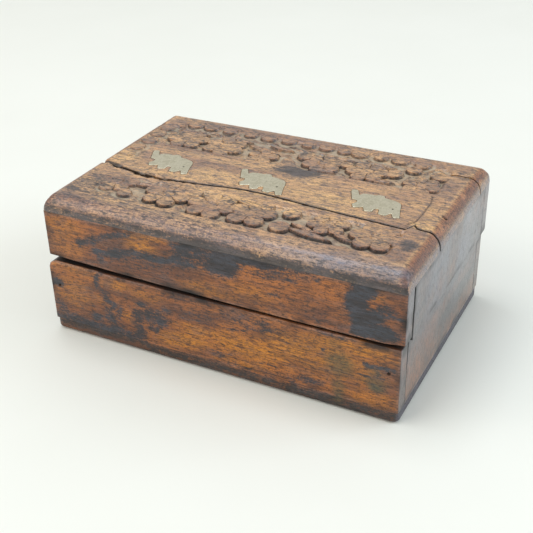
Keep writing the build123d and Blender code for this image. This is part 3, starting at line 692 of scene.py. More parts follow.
def crack_edge(x, stations, middle, side, open_share=1.0):
    """One side of a crack, -1 in front of it and 1 behind it, ragged and chipped a little."""
    stray, width = crack_line(x, stations)
    row = np.stack([x, np.full_like(x, middle), np.full_like(x, float(side))], -1)
    chipped = 0.2 * rough_noise(row, 5.0, 70) + 0.5 * smooth(0.74, 0.85, noise(row, 4.0, 75))
    ragged = 0.9 * width * (rough_noise(row[:, :1] * (1, 0, 0), (3.6, 1.0, 1.0), 78) - 0.5)
    return middle + stray + open_share * (ragged + side * (width / 2 + chipped))


def all_motifs():
    """Petals and leaves of the whole top, from the front edge, and the middles of the flowers."""
    discs, leaves, middles = [], [], []
    for flowers, petals, leaf_rows, place in (
        (FRONT_FLOWERS, FRONT_PETALS, FRONT_LEAVES, lambda y: y),
        (BACK_FLOWERS, BACK_PETALS, BACK_LEAVES, lambda y: BOX_DEPTH - y),
    ):
        turned = 1.0 if place(1.0) > place(0.0) else -1.0
        for x, y, ring, petal, turn in flowers:
            count = round(math.pi * ring / petal)
            for k in range(count):
                angle = math.radians(turn + 360.0 * k / count)
                discs.append((x + ring * math.cos(angle), place(y) + ring * math.sin(angle), petal))
            middles.append((x, place(y), ring - petal / 3))
        discs += [(x, place(y), radius) for x, y, radius in petals]
        leaves += [(x1, place(y1), x2, place(y2), width, turned) for x1, y1, x2, y2, width in leaf_rows]
    return discs, leaves, middles


DISCS, LEAVES, MIDDLES = all_motifs()


def leaf_distance(u, v, x1, y1, x2, y2, width):
    """How far outside a leaf each place is, how far off its vein and how far along it."""
    length = math.hypot(x2 - x1, y2 - y1)
    half, rise = length / 2, width / 2
    radius = (half * half + rise * rise) / (2 * rise)
    along = ((u - x1) * (x2 - x1) + (v - y1) * (y2 - y1)) / length - half
    across = ((v - y1) * (x2 - x1) - (u - x1) * (y2 - y1)) / length
    outside = np.hypot(along, np.abs(across) + radius - rise) - radius
    return outside, across, along / half


def in_fields(x, y):
    """1 inside the carved fields and 0 outside them, with soft edges."""
    inside = np.full_like(x, -np.inf)
    for left, right, near, far in FIELDS:
        inside = np.maximum(inside, np.min([x - left, right - x, y - near, far - y], axis=0))
    return smooth(-0.5, 4.0, inside)


def kept_depth(x, y):
    """How much of the carving's depth is left: less along the left end and at the back."""
    left_front = 0.5 * fade(-80.0, -62.0, x) * (y < BOX_DEPTH / 2)
    left_column = 0.55 * fade(-98.0, -90.0, x) * (y > BOX_DEPTH / 3)
    back_row = 0.3 * smooth(BOX_DEPTH - 26.0, BOX_DEPTH - 20.0, y)
    return 1.0 - np.max([left_front, left_column, back_row, 0.1 * (y > BOX_DEPTH / 2)], axis=0)


def motif_distances(x, y):
    """For each petal and leaf: how far outside it each place is, its size and how it faces the front."""
    for cx, cy, radius in DISCS:
        away = np.hypot(x - cx, y - cy) - radius
        yield away, radius, np.clip((cy - y) / (away + radius + 0.01), 0.0, 1.0)
    for *row, turned in LEAVES:
        away, across, _ = leaf_distance(x, y, *row)
        yield away, row[4] / 2, 0.6 * (across * turned < 0)


def nearest_motifs(x, y):
    """Distances to the nearest two petals or leaves, the nearest's size and how it faces the front."""
    first, second = np.full_like(x, np.inf), np.full_like(x, np.inf)
    size, facing = np.zeros_like(x), np.zeros_like(x)
    for away, own_size, own_facing in motif_distances(x, y):
        nearer = away < first
        second = np.minimum(second, np.maximum(first, away))
        size = np.where(nearer, own_size, size)
        facing = np.where(nearer, own_facing, facing)
        first = np.minimum(first, away)
    return first, second, size, facing


def leaf_veins(x, y):
    """The line cut along the middle of each leaf."""
    veins = np.zeros_like(x)
    for row in LEAVES:
        away, across, along_leaf = leaf_distance(x, y, *row[:5])
        mark = fade(0.15, 0.55, np.abs(across)) * fade(0.6, 0.9, np.abs(along_leaf))
        veins = np.maximum(veins, mark * (away < 0))
    return veins


def relief(x, y):
    """Depth of the carving, how much is open ground, where dirt with painted shade gathers and where cut
    sides that face the front get painted shade.
    """
    first, second, size, facing = nearest_motifs(x, y)
    to_centres = [np.hypot(x - cx, y - cy) for cx, cy, _ in MIDDLES]
    button = np.min(to_centres, axis=0)
    middle = np.min([away - row[2] for away, row in zip(to_centres, MIDDLES)], axis=0)
    outside = np.minimum(first, middle)
    field = in_fields(x, y)
    kept = kept_depth(x, y)
    place = np.stack([x, y, np.zeros_like(x)], -1)
    reach = outside + 2.4 * (noise(place, 6.0, 90) - 0.5)
    ground = field * smooth(-0.05, 0.3, outside) * fade(2.2, 6.5, reach)
    # Dirt with painted shade at the foot of each motif, wider and darker on the side that faces the front
    foot_dirt_and_shade = field * smooth(-0.25, 0.1, outside) * fade(0.4, 0.8 + 0.8 * facing, outside)
    foot_dirt_and_shade *= 0.3 + 0.7 * smooth(0.1, 0.5, facing)
    # Painted shade on the cut sides that face the front
    wall_shade = field * facing * smooth(-0.7, -0.3, outside) * fade(-0.1, 0.2, outside)
    between = fade(0.1, 0.75, second - first) * smooth(-2.6, -0.4, -np.abs(second)) * (outside < 0)
    between *= smooth(0.3, 0.6, noise(place, 7.0, 95))
    between *= smooth(BUTTON_RADIUS + 0.2, BUTTON_RADIUS + 1.2, button)
    dish = smooth(0.0, 0.9, -first / np.maximum(size, 1.0)) * (first < 0)
    fallen = fade(0.0, 1.3, -outside) * (outside < 0)
    ring = fade(BUTTON_GROOVE / 2, BUTTON_GROOVE, np.abs(button - BUTTON_RADIUS - BUTTON_GROOVE / 2))
    ring *= smooth(0.4, 0.75, noise(place, 9.0, 97))
    depth = CARVING_DEPTH * ground * kept
    depth += field * (BETWEEN_DEPTH * between + FALLEN_DEPTH * fallen + DISH_DEPTH * dish)
    depth += field * (RING_DEPTH * ring + VEIN_DEPTH * leaf_veins(x, y))
    incised = 0.75 * field * between
    for line, width, cut in PANEL_LINES:
        mark = fade(0.0, width, from_line(x, y, line))
        depth += cut * mark
        incised = np.maximum(incised, mark)
    return depth, ground, np.maximum(foot_dirt_and_shade * kept, 0.8 * incised), wall_shade


def elephant_rows(name):
    """Outline of one elephant with its corners cut, from the lid's middle and the front edge."""
    x, feet = ELEPHANTS[name]
    rows = []
    for (x1, y1), (x2, y2) in zip(ELEPHANT, ELEPHANT[1:] + ELEPHANT[:1]):
        share = min(0.3, CUT_CORNER / math.hypot(x2 - x1, y2 - y1))
        rows += [(x + x1 + k * (x2 - x1), feet + y1 + k * (y2 - y1)) for k in (share, 1.0 - share)]
    return rows


def inside_outline(x, y, outline):
    """How far inside a closed outline each place is, negative outside it."""
    inside = np.zeros(len(x), bool)
    for (x1, y1), (x2, y2) in zip(outline, outline[1:] + outline[:1]):
        crosses = (y1 > y) != (y2 > y)
        at = (x2 - x1) * (y - y1) / (y2 - y1 if y2 != y1 else 1e-9) + x1
        inside ^= crosses & (x < at)
    away = from_line(x, y, outline + outline[:1])
    return np.where(inside, away, -away)


def cut_outs(x, y):
    """Depth of what is cut into the middle board: the elephants' pockets and the nail's hole."""
    away = np.hypot(x - TOP_NAIL[0], y - TOP_NAIL[1])
    depth = TOP_NAIL_DEPTH * fade(NAIL_PIT - 0.1, NAIL_PIT + 0.3, away)
    for name, (middle, feet) in ELEPHANTS.items():
        to_side, to_feet = np.abs(x - middle), np.abs(y - feet - ELEPHANT_MIDDLE)
        near = np.flatnonzero((to_side < ELEPHANT_REACH[0]) & (to_feet < ELEPHANT_REACH[1]))
        inside = inside_outline(x[near], y[near], elephant_rows(name))
        pocket = POCKET_DEPTH * smooth(-INLAY_GAP, -INLAY_GAP + 0.25, inside)
        depth[near] = np.maximum(depth[near], pocket)
    return depth


def top_grid(front_edge, back_edge, step):
    """Points and quads of a smooth board of the top between two lines."""
    low = np.array([LID_X - HALF_LENGTH, FRONT_Y, TOP_Z - TOP_THICKNESS])
    high = np.array([LID_X + HALF_LENGTH, BACK_Y, TOP_Z])
    xs = grid_lines(low[0], high[0], step, END_ROUND, END_ROUND)
    width = float(np.mean(back_edge(xs - LID_X) - front_edge(xs - LID_X)))
    shares = np.linspace(0.0, 1.0, int(round(width / step)) + 1)
    zs = grid_lines(low[2], high[2], TOP_STEP_DOWN, 0.0, FRONT_ROUND)
    grid, quads = closed_grid(xs, shares, zs)
    x, share = grid[:, 0] - LID_X, grid[:, 1]
    y = front_edge(x) * (1.0 - share) + back_edge(x) * share
    flat = np.stack([grid[:, 0], FRONT_Y + y, grid[:, 2]], -1)
    radii_low = np.array([END_ROUND, FRONT_ROUND, 0.0])
    radii_high = np.array([END_ROUND, BACK_ROUND, FRONT_ROUND])
    squareness = 4.0 + 8.0 * np.clip((high[2] - flat[:, 2]) / FRONT_ROUND, 0.0, 1.0)
    return rounded(flat, low, high, radii_low, radii_high, squareness), quads


def split_dirt(x, y, chipped):
    """Dirt in the crack and in the split at the back, wider where the crack's edges are chipped."""
    from_crack = np.abs(y - FRONT_BOARD_WIDTH - crack_line(x, FRONT_CRACK)[0])
    from_split = np.abs(y - BACK_MIDDLE - crack_line(x, BACK_CRACK)[0])
    crack = fade(0.0, 0.9, from_crack - 0.8 - 1.1 * chipped)
    return 0.9 * np.maximum(crack, back_open(x) * fade(0.0, 0.7, from_split - 0.3))


def top_board(part, front_edge, back_edge, finish):
    """One board of the top between two lines, carved, split and worn."""
    points, quads = top_grid(front_edge, back_edge, TOP_STEPS[part])
    x = points[:, 0] - LID_X
    y = points[:, 1] - FRONT_Y
    depth, ground, dirt_and_shade, cut_side_shade = relief(x, y)
    cut = cut_outs(x, y) if part == "middle" else np.zeros_like(x)
    to_edge = np.minimum(np.abs(y - front_edge(x)), np.abs(y - back_edge(x)))
    inner_edge = (y > OUTER_BAND) & (y < BOX_DEPTH - OUTER_BAND)
    chipped = patches(points, (7.0, 3.0, 3.0), 464, 0.4, 0.6) * fade(-58.0, -40.0, x)
    edge_wear = (0.4 * fade(0.0, 1.0, to_edge) + 1.3 * chipped * fade(0.3, 2.2, to_edge)) * inner_edge
    chiselled = CHISEL_DEPTH * ground * rough_noise(points, 2.2, 402)
    total = depth + cut + edge_wear + chiselled + dents(points, 400, 0.2)
    height = points[:, 2] - TOP_LOW[2]
    share = height / TOP_THICKNESS
    kept = 1.0 - np.minimum(total, TOP_THICKNESS - LEAST_TOP) / TOP_THICKNESS
    points[:, 2] = TOP_LOW[2] + height * kept
    fields = top_fields(points, x, y, share)
    carved = share > 0.5
    # Painted orange-brown shade on the cut sides that face the front
    fields["stain_and_shade"] = np.maximum(fields["stain_and_shade"], 0.7 * cut_side_shade * carved)
    # Dirt with painted shade at the foot of the motifs, darker cuts, and darker pockets and nail hole
    cut_dirt_and_shade = np.maximum(dirt_and_shade, 0.75 * cut / POCKET_DEPTH) * carved
    grime_and_shade = np.max([cut_dirt_and_shade, split_dirt(x, y, chipped), fields["grime_and_shade"]], axis=0)
    fields["grime_and_shade"] = np.clip(grime_and_shade, 0.0, 1.0)
    fields["dust"] = smooth(0.55, 0.95, ground) * patches(points, 5.0, 460, 0.2, 0.6) * (1.0 - dirt_and_shade) * carved
    name = "top_" + part
    return make_piece(name, points, quads, fields, finish, "lid", [name + "_board"])


def top_fields(points, x, y, share):
    """Stains, gold, wear and painted sheen of the top, share being the height within the board."""
    drift = np.stack([noise(points, (9.0, 6.0, 9.0), seed) - 0.5 for seed in (430, 431)], -1)
    u = points[:, 0] + 6.0 * drift[:, 0]
    v = y + 4.0 * drift[:, 1]
    to_end = np.minimum(x + HALF_LENGTH, HALF_LENGTH - x)
    low_front = fade(0.36, 0.62, share) * fade(8.0, 10.0, y)
    above = 1.0 - low_front
    rounding = smooth(0.4, 0.6, share)
    end_face = (1.0 - rounding) * fade(0.4, 1.2, to_end)

    # Dark wood: stains, the low part of the front, the shadow on its rounding and the mottled carving
    strength = 0.85 + 0.25 * smooth(-40.0, -10.0, x)
    low_dark = strength * low_front * patches(points, (30.0, 8.0, 3.0), 450, 0.05, 0.4)
    stains = np.maximum(spots(u, v, TOP_DARK), streaks(u, v, TOP_STREAKS))
    shadowed = patches(points, (40.0, 9.0, 6.0), 458, 0.3, 0.6) * fade(1.0, 9.0, y)
    shadowed *= 0.75 - 0.2 * smooth(20.0, 70.0, x)
    front_round = fade(7.0, 14.0, y) * above * fade(0.0, 80.0, x)
    mottled = in_fields(x, y) * patches(points, 3.4, 461, 0.42, 0.72)
    dark = np.max([stains * above, low_dark, shadowed, 0.54 * front_round, 0.6 * mottled], axis=0)

    # The rounded ends: dark at the foot, orange above it and a gold line at the top
    patchy = patches(points, (8.0, 14.0, 4.0), 455, 0.2, 0.5)
    end_dark = rounding * fade(3.5, 6.5, to_end) * np.maximum(patchy, fade(20.0, 45.0, y))
    end_orange = smooth(0.6, 1.6, to_end) * fade(4.5, 7.5, to_end) * rounding
    end_gold = smooth(4.0, 6.0, to_end) * fade(6.5, 9.0, to_end)

    # Rubbed patches on the front rounding. They also carry a painted bluish highlight that grows towards the
    # right end, and the end faces get the sides' painted sheen.
    front_wear_and_sheen = fade(5.0, 16.0, y) * patches(points, (26.0, 5.0, 5.0), 457, 0.0, 0.5) * above
    painted_front_sheen = (0.15 + 0.75 * smooth(0.0, 90.0, x)) * front_wear_and_sheen
    fields = {
        "dark": np.maximum(dark * (1.0 - end_face), 0.65 * end_dark),
        "grime_and_shade": 0.35 * end_dark,
        "gold": np.clip(spots(u, v, TOP_GOLD) + 0.5 * end_gold, 0.0, 1.0),
        "stain_and_shade": np.maximum(0.85 * end_orange, 0.3 * front_round * fade(4.0, 10.0, y)),
        "wear": 0.15 * front_wear_and_sheen,
        "painted_sheen": np.maximum(end_face * painted_side_sheen(points), painted_front_sheen),
    }

    # The underside, within the walls, is plain.
    within = (np.abs(x) < HALF_LENGTH - END_WALL) & (y > LONG_WALL) & (y < BOX_DEPTH - LONG_WALL)
    under = within & (share < 0.02)
    fields = {key: np.where(under, 0.0, values) for key, values in fields.items()}
    fields["dark"] += under * 0.6 * patches(points, (50.0, 16.0, 9.0), 463, 0.5, 0.8)
    return fields


class Finish:
    """A material and short calls that add nodes to it."""

    def __init__(self, name):
        self.material = bpy.data.materials.new(name)
        self.material.use_nodes = True
        self.nodes = self.material.node_tree.nodes
        self.links = self.material.node_tree.links
        self.inputs = self.nodes["Principled BSDF"].inputs
        self.place = self.nodes.new("ShaderNodeTexCoord").outputs["Object"]

    def put(self, socket, value):
        if isinstance(value, bpy.types.NodeSocket):
            self.links.new(value, socket)
        else:
            socket.default_value = value

    def field(self, name):
        """A value that the mesh carries."""
        node = self.nodes.new("ShaderNodeAttribute")
        node.attribute_name = name
        return node.outputs["Fac"]

    def math(self, operation, first, second):
        node = self.nodes.new("ShaderNodeMath")
        node.operation = operation
        self.put(node.inputs[0], first)
        self.put(node.inputs[1], second)
        return node.outputs[0]

    def times(self, first, second):
        return self.math("MULTIPLY", first, second)

    def plus(self, first, second):
        return self.math("ADD", first, second)

    def span(self, value, low, high, to_low=0.0, to_high=1.0):
        """A soft step between low and high."""
        node = self.nodes.new("ShaderNodeMapRange")
        node.interpolation_type = "SMOOTHSTEP"
        for socket, number in zip(node.inputs[:5], (value, low, high, to_low, to_high)):
            self.put(socket, number)
        return node.outputs[0]

    def noise(self, per_metre, detail=3.0, roughness=0.55, distortion=0.0):
        """Noise with per_metre lumps to a metre along each axis."""
        scale = self.nodes.new("ShaderNodeMapping")
        scale.inputs["Scale"].default_value = per_metre
        self.put(scale.inputs["Vector"], self.place)
        node = self.nodes.new("ShaderNodeTexNoise")
        node.inputs["Scale"].default_value = 1.0
        node.inputs["Detail"].default_value = detail
        node.inputs["Roughness"].default_value = roughness
        node.inputs["Distortion"].default_value = distortion
        self.put(node.inputs["Vector"], scale.outputs[0])
        return node.outputs["Fac"]

    def mix(self, share, first, second, mode="MIX"):
        """A colour between two others."""
        node = self.nodes.new("ShaderNodeMix")
        node.data_type = "RGBA"
        node.blend_type = mode
        self.put(node.inputs[0], share)
        self.put(node.inputs[6], first)
        self.put(node.inputs[7], second)
        return node.outputs[2]

    def cover(self, base, tint, share, amount):
        """A colour with another laid over it, as thick as share times amount."""
        return self.mix(self.times(share, amount), base, tint)

    def bump(self, height, distance, strength=1.0, under=None):
        node = self.nodes.new("ShaderNodeBump")
        node.inputs["Strength"].default_value = strength
        node.inputs["Distance"].default_value = distance
        self.put(node.inputs["Height"], height)
        if under is not None:
            self.put(node.inputs["Normal"], under)
        return node.outputs[0]


def colour(red, green, blue):
    """A colour from its screen values, 0 to 255."""
    linear = []
    for value in (red, green, blue):
        share = value / 255.0
        linear.append(share / 12.92 if share <= 0.04045 else ((share + 0.055) / 1.055) ** 2.4)
    return (*linear, 1.0)


def along(axis, long_scale, cross_scale):
    """Lumps to a metre, stretched along one axis."""
    return tuple(long_scale if k == axis else cross_scale for k in range(3))


# Noises of the wood: lumps to a metre along and across the grain, detail, roughness and distortion
WOOD_NOISES = {
    "broad": (12.0, 40.0, 4.0, 0.6, 0.6),
    "bands": (7.0, 210.0, 3.0, 0.6, 0.35),
    "fibre": (60.0, 1200.0, 3.0, 0.7),
    "cloud": (120.0, 330.0, 5.0, 0.7, 0.4),
    "dashes": (260.0, 1000.0, 2.0, 0.62),
    "flecks": (130.0, 520.0, 4.0, 0.72, 0.3),
    "hues": (200.0, 460.0, 4.0, 0.7, 0.5),
    "threads": (30.0, 640.0, 3.0, 0.6, 0.15),
    "haze": (50.0, 150.0, 5.0, 0.65, 0.6),
    "figure": (14.0, 90.0, 5.0, 0.65, 1.2),
    "grit": (850.0, 850.0, 3.0, 0.65),
    "dots": (1100.0, 1100.0, 2.0, 0.6),
    "lumps": (180.0, 180.0, 4.0, 0.6),
}
# Wood colours, as the wood would look in plain light
TONES = ("pale", "mid", "deep", "gold", "stain_and_shade", "heart", "greyed")
WOODS = {
    "front": (
        (182, 108, 44), (146, 80, 34), (86, 46, 26), (210, 132, 22), (80, 84, 54),
        (18, 30, 42), (52, 62, 76),
    ),
    "side": (
        (124, 88, 66), (96, 66, 52), (58, 44, 42), (172, 100, 40), (80, 84, 54),
        (26, 32, 40), (60, 66, 78),
    ),
    "top": (
        (222, 172, 118), (196, 146, 104), (152, 112, 88), (242, 192, 126), (172, 94, 48),
        (40, 36, 40), (80, 72, 76),
    ),
    "under": (
        (140, 84, 42), (110, 62, 34), (70, 44, 32), (168, 100, 34), (80, 84, 54),
        (22, 26, 30), (60, 58, 60),
    ),
}
HAZE = colour(98, 86, 88)
PORE = colour(40, 28, 24)
# Dirt, and painted shade in the gaps, joints and carving
GRIME_AND_SHADE = colour(20, 16, 15)
DUST = colour(172, 157, 134)
RUBBED = colour(176, 144, 128)
# Painted blue-grey sheen, a reflection laid into the colour
PAINTED_SHEEN = colour(104, 108, 128)
METAL_GRIME = colour(60, 50, 40)


def bare_wood(finish, tones, noises, fields, fleck, tint):
    """The colour of clean wood: its bands, worn gold and rubbed edges, grey haze and dark flecks."""
    base = finish.mix(finish.span(noises["bands"], 0.3, 0.7), tones["deep"], tones["mid"])
    base = finish.mix(finish.span(noises["broad"], 0.38, 0.64), base, tones["pale"])
    rubbed_off = finish.span(noises["cloud"], 0.3, 0.56, 0.3, 1.0)
    base = finish.cover(base, tones["gold"], fields["gold"], rubbed_off)
    base = finish.cover(base, RUBBED, fields["wear"], 0.7)
    for noise_name, low, high, share, over in (
        ("haze", 0.5, 0.72, 0.5, HAZE), ("hues", 0.48, 0.62, tint, HAZE),
        ("flecks", 0.5, 0.62, fleck, tones["deep"]), ("threads", 0.54, 0.64, 0.7 * fleck, tones["deep"]),
    ):
        base = finish.mix(finish.span(noises[noise_name], low, high, 0.0, share), base, over)
    return base


def stained_wood(finish, base, tones, noises, fields, figure):
    """Dark heartwood that breaks up at its edges, the board's own figure, stains and a painted blue-grey
    sheen.
    """
    broken = fields["dark"]
    for noise_name, amount in (("cloud", 1.7), ("dashes", 1.3), ("grit", 1.5)):
        broken = finish.plus(broken, finish.times(finish.math("SUBTRACT", noises[noise_name], 0.5), amount))
    stained = finish.times(finish.span(broken, 0.12, 1.0), finish.span(fields["dark"], 0.0, 0.35))
    heart = finish.mix(finish.span(noises["haze"], 0.36, 0.66), tones["heart"], tones["greyed"])
    base = finish.cover(base, heart, stained, 0.95)
    base = finish.cover(base, tones["heart"], finish.span(noises["figure"], 0.56, 0.72), figure)
    soaked = finish.span(noises["grit"], 0.3, 0.6, 0.85, 0.5)
    base = finish.cover(base, tones["stain_and_shade"], fields["stain_and_shade"], soaked)
    # The painted blue-grey sheen, in patches.
    return finish.cover(base, PAINTED_SHEEN, fields["painted_sheen"], finish.span(noises["cloud"], 0.3, 0.65, 0.9, 0.55))


def wood(kind, axis=0, gloss=0.42, coat=0.4, figure=0.35, fleck=0.5, tint=0.4):
    """Old oiled wood with its grain along an axis, its marks taken from the mesh's fields."""
    finish = Finish("wood_" + kind)
    tones = {key: colour(*value) for key, value in zip(TONES, WOODS[kind])}
    fields = {key: finish.field(key) for key in ("dark", "gold", "stain_and_shade", "wear", "grime_and_shade", "dust", "painted_sheen")}
    noises = {key: finish.noise(along(axis, *row[:2]), *row[2:]) for key, row in WOOD_NOISES.items()}
    dust, grime_and_shade = fields["dust"], fields["grime_and_shade"]
    dashes = finish.span(noises["dashes"], 0.53, 0.65)

    base = bare_wood(finish, tones, noises, fields, fleck, tint)
    base = stained_wood(finish, base, tones, noises, fields, figure)
    lines = finish.mix(finish.span(noises["fibre"], 0.32, 0.62, 0.6, 1.1), (0, 0, 0, 1), (1, 1, 1, 1))
    shade = finish.mix(1.0, base, lines, "MULTIPLY")
    shade = finish.cover(shade, PORE, dashes, 0.66)
    shade = finish.cover(shade, PORE, finish.span(noises["dots"], 0.55, 0.65), 0.5)
    shade = finish.cover(shade, DUST, dust, finish.span(noises["cloud"], 0.35, 0.6, 0.35, 0.9))
    # Dirt and painted shade darken the colour
    finish.put(finish.inputs["Base Color"], finish.cover(shade, GRIME_AND_SHADE, grime_and_shade, 0.94))

    rough = finish.span(noises["broad"], 0.3, 0.7, gloss - 0.08, gloss + 0.1)
    for mark, amount in ((dust, 0.35), (dashes, 0.15), (grime_and_shade, 0.4)):
        rough = finish.plus(rough, finish.times(mark, amount))
    finish.put(finish.inputs["Roughness"], rough)
    finish.inputs["Specular IOR Level"].default_value = 0.5
    finish.inputs["Coat Weight"].default_value = coat
    finish.inputs["Coat IOR"].default_value = 1.6
    finish.inputs["Coat Roughness"].default_value = 0.36

    grain = finish.bump(noises["fibre"], 0.0002, 0.6)
    sunk = finish.bump(finish.math("SUBTRACT", 1.0, dashes), 0.00018, 0.6, grain)
    finish.put(finish.inputs["Normal"], finish.bump(noises["lumps"], 0.0007, 0.5, sunk))
    return finish.material


def metal(name, clean, tarnish, rust, gloss, scratches=0.5, metallic=1.0):
    """Old metal: patches of tarnish, fine scratches and dull spots."""
    finish = Finish(name)
    stains = finish.noise((260.0, 260.0, 260.0), 5.0, 0.65, 0.5)
    dull = finish.span(finish.noise((1400.0, 1400.0, 1400.0), 2.0, 0.6), 0.58, 0.7)
    lines = finish.noise((300.0, 4000.0, 300.0), 2.0, 0.6, 0.2)
    shade = finish.mix(finish.span(stains, 0.38, 0.66), colour(*clean), colour(*tarnish))
    shade = finish.cover(shade, colour(*rust), dull, 0.5)
    shade = finish.cover(shade, METAL_GRIME, finish.field("grime_and_shade"), 0.85)
    finish.put(finish.inputs["Base Color"], shade)
    finish.inputs["Metallic"].default_value = metallic
    finish.put(finish.inputs["Roughness"], finish.span(stains, 0.3, 0.7, gloss, gloss + 0.22))
    scratched = finish.bump(lines, 0.00006, scratches)
    finish.put(finish.inputs["Normal"], finish.bump(stains, 0.0003, 0.4, scratched))
    return finish.material


def elephant(name, finish):
    """An elephant cut from sheet brass, its edges rounded over."""
    node = "elephant_" + name
    low, high = corners(node)
    outline = bpy.data.curves.new(name + "_outline", "CURVE")
    outline.dimensions = "2D"
    outline.fill_mode = "BOTH"
    outline.extrude = ((high[2] - low[2]) / 2 - INLAY_BEVEL) * MM
    outline.bevel_depth = INLAY_BEVEL * MM
    outline.offset = -INLAY_BEVEL * MM
    outline.bevel_resolution = 2
    line = outline.splines.new("POLY")
    rows = elephant_rows(name)
    line.points.add(len(rows) - 1)
    for point, (x, y) in zip(line.points, rows):
        point.co = ((LID_X + x) * MM, (FRONT_Y + y) * MM, 0.0, 1.0)
    line.use_cyclic_u = True
    holder = bpy.data.objects.new(name + "_outline", outline)
    mesh = bpy.data.meshes.new_from_object(holder)
    bpy.data.objects.remove(holder)
    mesh.name = "inlay_" + name
    mesh.transform(Matrix.Translation(Vector((0, 0, (low[2] + high[2]) / 2 * MM))))
    mesh.materials.clear()
    mesh.materials.append(finish)
    piece = bpy.data.objects.new("inlay_" + name, mesh)
    bpy.context.scene.collection.objects.link(piece)
    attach(piece, "lid")
    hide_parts(node)


def dress(nodes, finish):
    """Gives CAD nodes that stay a finish of their own."""
    for node in nodes:
        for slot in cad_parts[node].material_slots:
            slot.material = finish


def lid_front_edge(x):
    """Height of the worn lower edge of the lid's front board."""
    t = np.clip((x - LID_X) / HALF_LENGTH, -1.0, 1.0)
    left, middle, right = FRONT_GAPS
    worn_corner = CORNER_LIFT * smooth(0.88, 1.0, t)
    return BASE_TOP + middle + t * (right - left) / 2 + t * t * ((right + left) / 2 - middle) + worn_corner


def lid_gap(z):
    """Open joint of the lid's right side board at each height."""
    return np.interp(z, (LID_BOTTOM, WALL_TOP), LID_JOINT)


def base_gap(z):
    """Open joint of the base's right side board at each height."""
    return np.interp(z, (BASE_JOINT_START, BASE_TOP), BASE_JOINT)


def back_open(x):
    """How far the split at the back stands open: fully only near the right end."""
    return 0.25 + 0.75 * smooth(88.0, 100.0, x)


def crack_side(side):
    """The front (-1) or back (1) side of the long crack."""
    return lambda x: crack_edge(x, FRONT_CRACK, FRONT_BOARD_WIDTH, side)


def split_side(side):
    """The front (-1) or back (1) side of the split at the back."""
    return lambda x: crack_edge(x, BACK_CRACK, BACK_MIDDLE, side, back_open(x))


def whole_back(x):
    """The back edge of the top."""
    return np.full_like(x, BOX_DEPTH)


# The box
front_wood = wood("front", coat=0.25, fleck=0.75, tint=0.2)
side_wood = wood("side", axis=2, gloss=0.38, coat=1.0, tint=0.6)
top_wood = wood("top", gloss=0.4, coat=0.6, fleck=0.3, tint=0.75)
under_wood = wood("under", gloss=0.5, coat=0.25, fleck=0.65, tint=0.2)
inlay_brass = metal("brass_inlay", (219, 212, 190), (193, 186, 164), (142, 134, 116), gloss=0.42)
pin_brass = metal("brass_pin", (244, 240, 222), (222, 214, 190), (160, 150, 130), gloss=0.25)
hinge_brass = metal("brass_hinge", (150, 118, 68), (86, 70, 48), (60, 46, 34), gloss=0.4)
nail_iron = metal("iron_nail", (70, 62, 58), (52, 40, 34), (92, 56, 36), 0.55, scratches=0.3, metallic=0.8)

walls = (front_wood, side_wood)
long_board("front", "base", walls, 100, rubbed=True)
long_board("back", "base", walls, 120)
long_board("front", "lid", walls, 140, lower_edge=lid_front_edge, filled=True)
long_board("back", "lid", walls, 160)
side_board("left", "base", side_wood, 180)
side_board("right", "base", side_wood, 200, base_gap)
side_board("left", "lid", side_wood, 220)
side_board("right", "lid", side_wood, 240, lid_gap)
bottom_board(under_wood)
top_board("front", np.zeros_like, crack_side(-1), top_wood)
top_board("middle", crack_side(1), split_side(-1), top_wood)
top_board("back", split_side(1), whole_back, top_wood)
for elephant_name in ELEPHANTS:
    elephant(elephant_name, inlay_brass)
dress(["elephant_pins"], pin_brass)
dress([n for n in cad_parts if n.startswith("hinge_")], hinge_brass)
dress([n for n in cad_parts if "nail" in n], nail_iron)


# Camera, floor and light
CAMERA_PLACE = (0.2412, -0.4693, 0.3395)
CAMERA_AZIMUTH, CAMERA_ELEVATION, CAMERA_ROLL = 27.516, 30.125, -1.366
CAMERA_LENS, CAMERA_SENSOR = 64.74, 36.0
ROOM_PAINT, ROOM_STRENGTH = colour(240, 241, 238), 0.7
FLOOR_SIZE = 6.0
FLOOR_PAINT = (colour(232, 232, 224), colour(238, 238, 231))
LIGHT_AIM = (0.0, 0.0, 0.05)
# Lights: place, size, power and tint
LIGHTS = {
    "window": ((1.7, 0.6, 1.1), (1.6, 1.2), 20.0, (0.76, 0.88, 1.0)),
    "room": ((-1.3, -1.5, 1.7), (2.0, 1.6), 24.0, (1.0, 0.97, 0.92)),
    "sky": ((-0.45, 0.05, 2.0), (0.9, 0.9), 12.0, (0.86, 0.93, 1.0)),
}


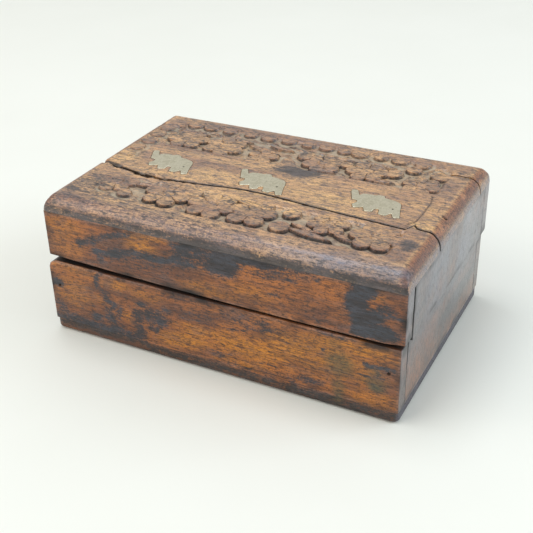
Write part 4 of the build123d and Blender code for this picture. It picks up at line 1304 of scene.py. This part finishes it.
def place_camera():
    """The camera at the photograph's place."""
    azimuth, elevation, roll = (math.radians(a) for a in (CAMERA_AZIMUTH, CAMERA_ELEVATION, CAMERA_ROLL))
    level = math.cos(elevation)
    away = Vector((math.sin(azimuth) * level, -math.cos(azimuth) * level, math.sin(elevation)))
    right = Vector((math.cos(azimuth), math.sin(azimuth), 0.0))
    up = away.cross(right)
    turned_right = right * math.cos(roll) + up * math.sin(roll)
    turned_up = up * math.cos(roll) - right * math.sin(roll)
    data = bpy.data.cameras.new("camera")
    data.sensor_width = CAMERA_SENSOR
    data.lens = CAMERA_LENS
    data.clip_start = 0.01
    camera = bpy.data.objects.new("camera", data)
    bpy.context.scene.collection.objects.link(camera)
    axes = Matrix((turned_right, turned_up, away)).transposed().to_4x4()
    camera.matrix_world = Matrix.Translation(Vector(CAMERA_PLACE)) @ axes
    bpy.context.scene.camera = camera


def area_light(name, place, size, power, tint):
    """A large soft light that points at the box."""
    data = bpy.data.lights.new(name, "AREA")
    data.shape = "RECTANGLE"
    data.size, data.size_y = size
    data.energy = power
    data.color = tint
    light = bpy.data.objects.new(name, data)
    bpy.context.scene.collection.objects.link(light)
    light.location = place
    light.rotation_euler = (Vector(LIGHT_AIM) - Vector(place)).to_track_quat("-Z", "Y").to_euler()


def pale_floor():
    """A large plain floor of matt paint."""
    mesh = bpy.data.meshes.new("floor")
    turns = ((-1, -1), (1, -1), (1, 1), (-1, 1))
    floor_corners = [(x * FLOOR_SIZE, y * FLOOR_SIZE, 0) for x, y in turns]
    mesh.from_pydata(floor_corners, [], [(0, 1, 2, 3)])
    floor = bpy.data.objects.new("floor", mesh)
    bpy.context.scene.collection.objects.link(floor)
    finish = Finish("floor_paint")
    cloud = finish.noise((6.0, 6.0, 6.0))
    finish.put(finish.inputs["Base Color"], finish.mix(cloud, *FLOOR_PAINT))
    finish.inputs["Roughness"].default_value = 0.55
    finish.put(finish.inputs["Normal"], finish.bump(finish.noise((300.0, 300.0, 300.0)), 0.0002, 0.2))
    mesh.materials.append(finish.material)


def studio():
    """Pale light from all around and three large soft lights."""
    world = bpy.data.worlds.new("room")
    world.use_nodes = True
    background = world.node_tree.nodes["Background"]
    background.inputs["Color"].default_value = ROOM_PAINT
    background.inputs["Strength"].default_value = ROOM_STRENGTH
    bpy.context.scene.world = world
    for name, row in LIGHTS.items():
        area_light(name, *row)
    bpy.context.scene.view_settings.view_transform = "Standard"


place_camera()
pale_floor()
studio()
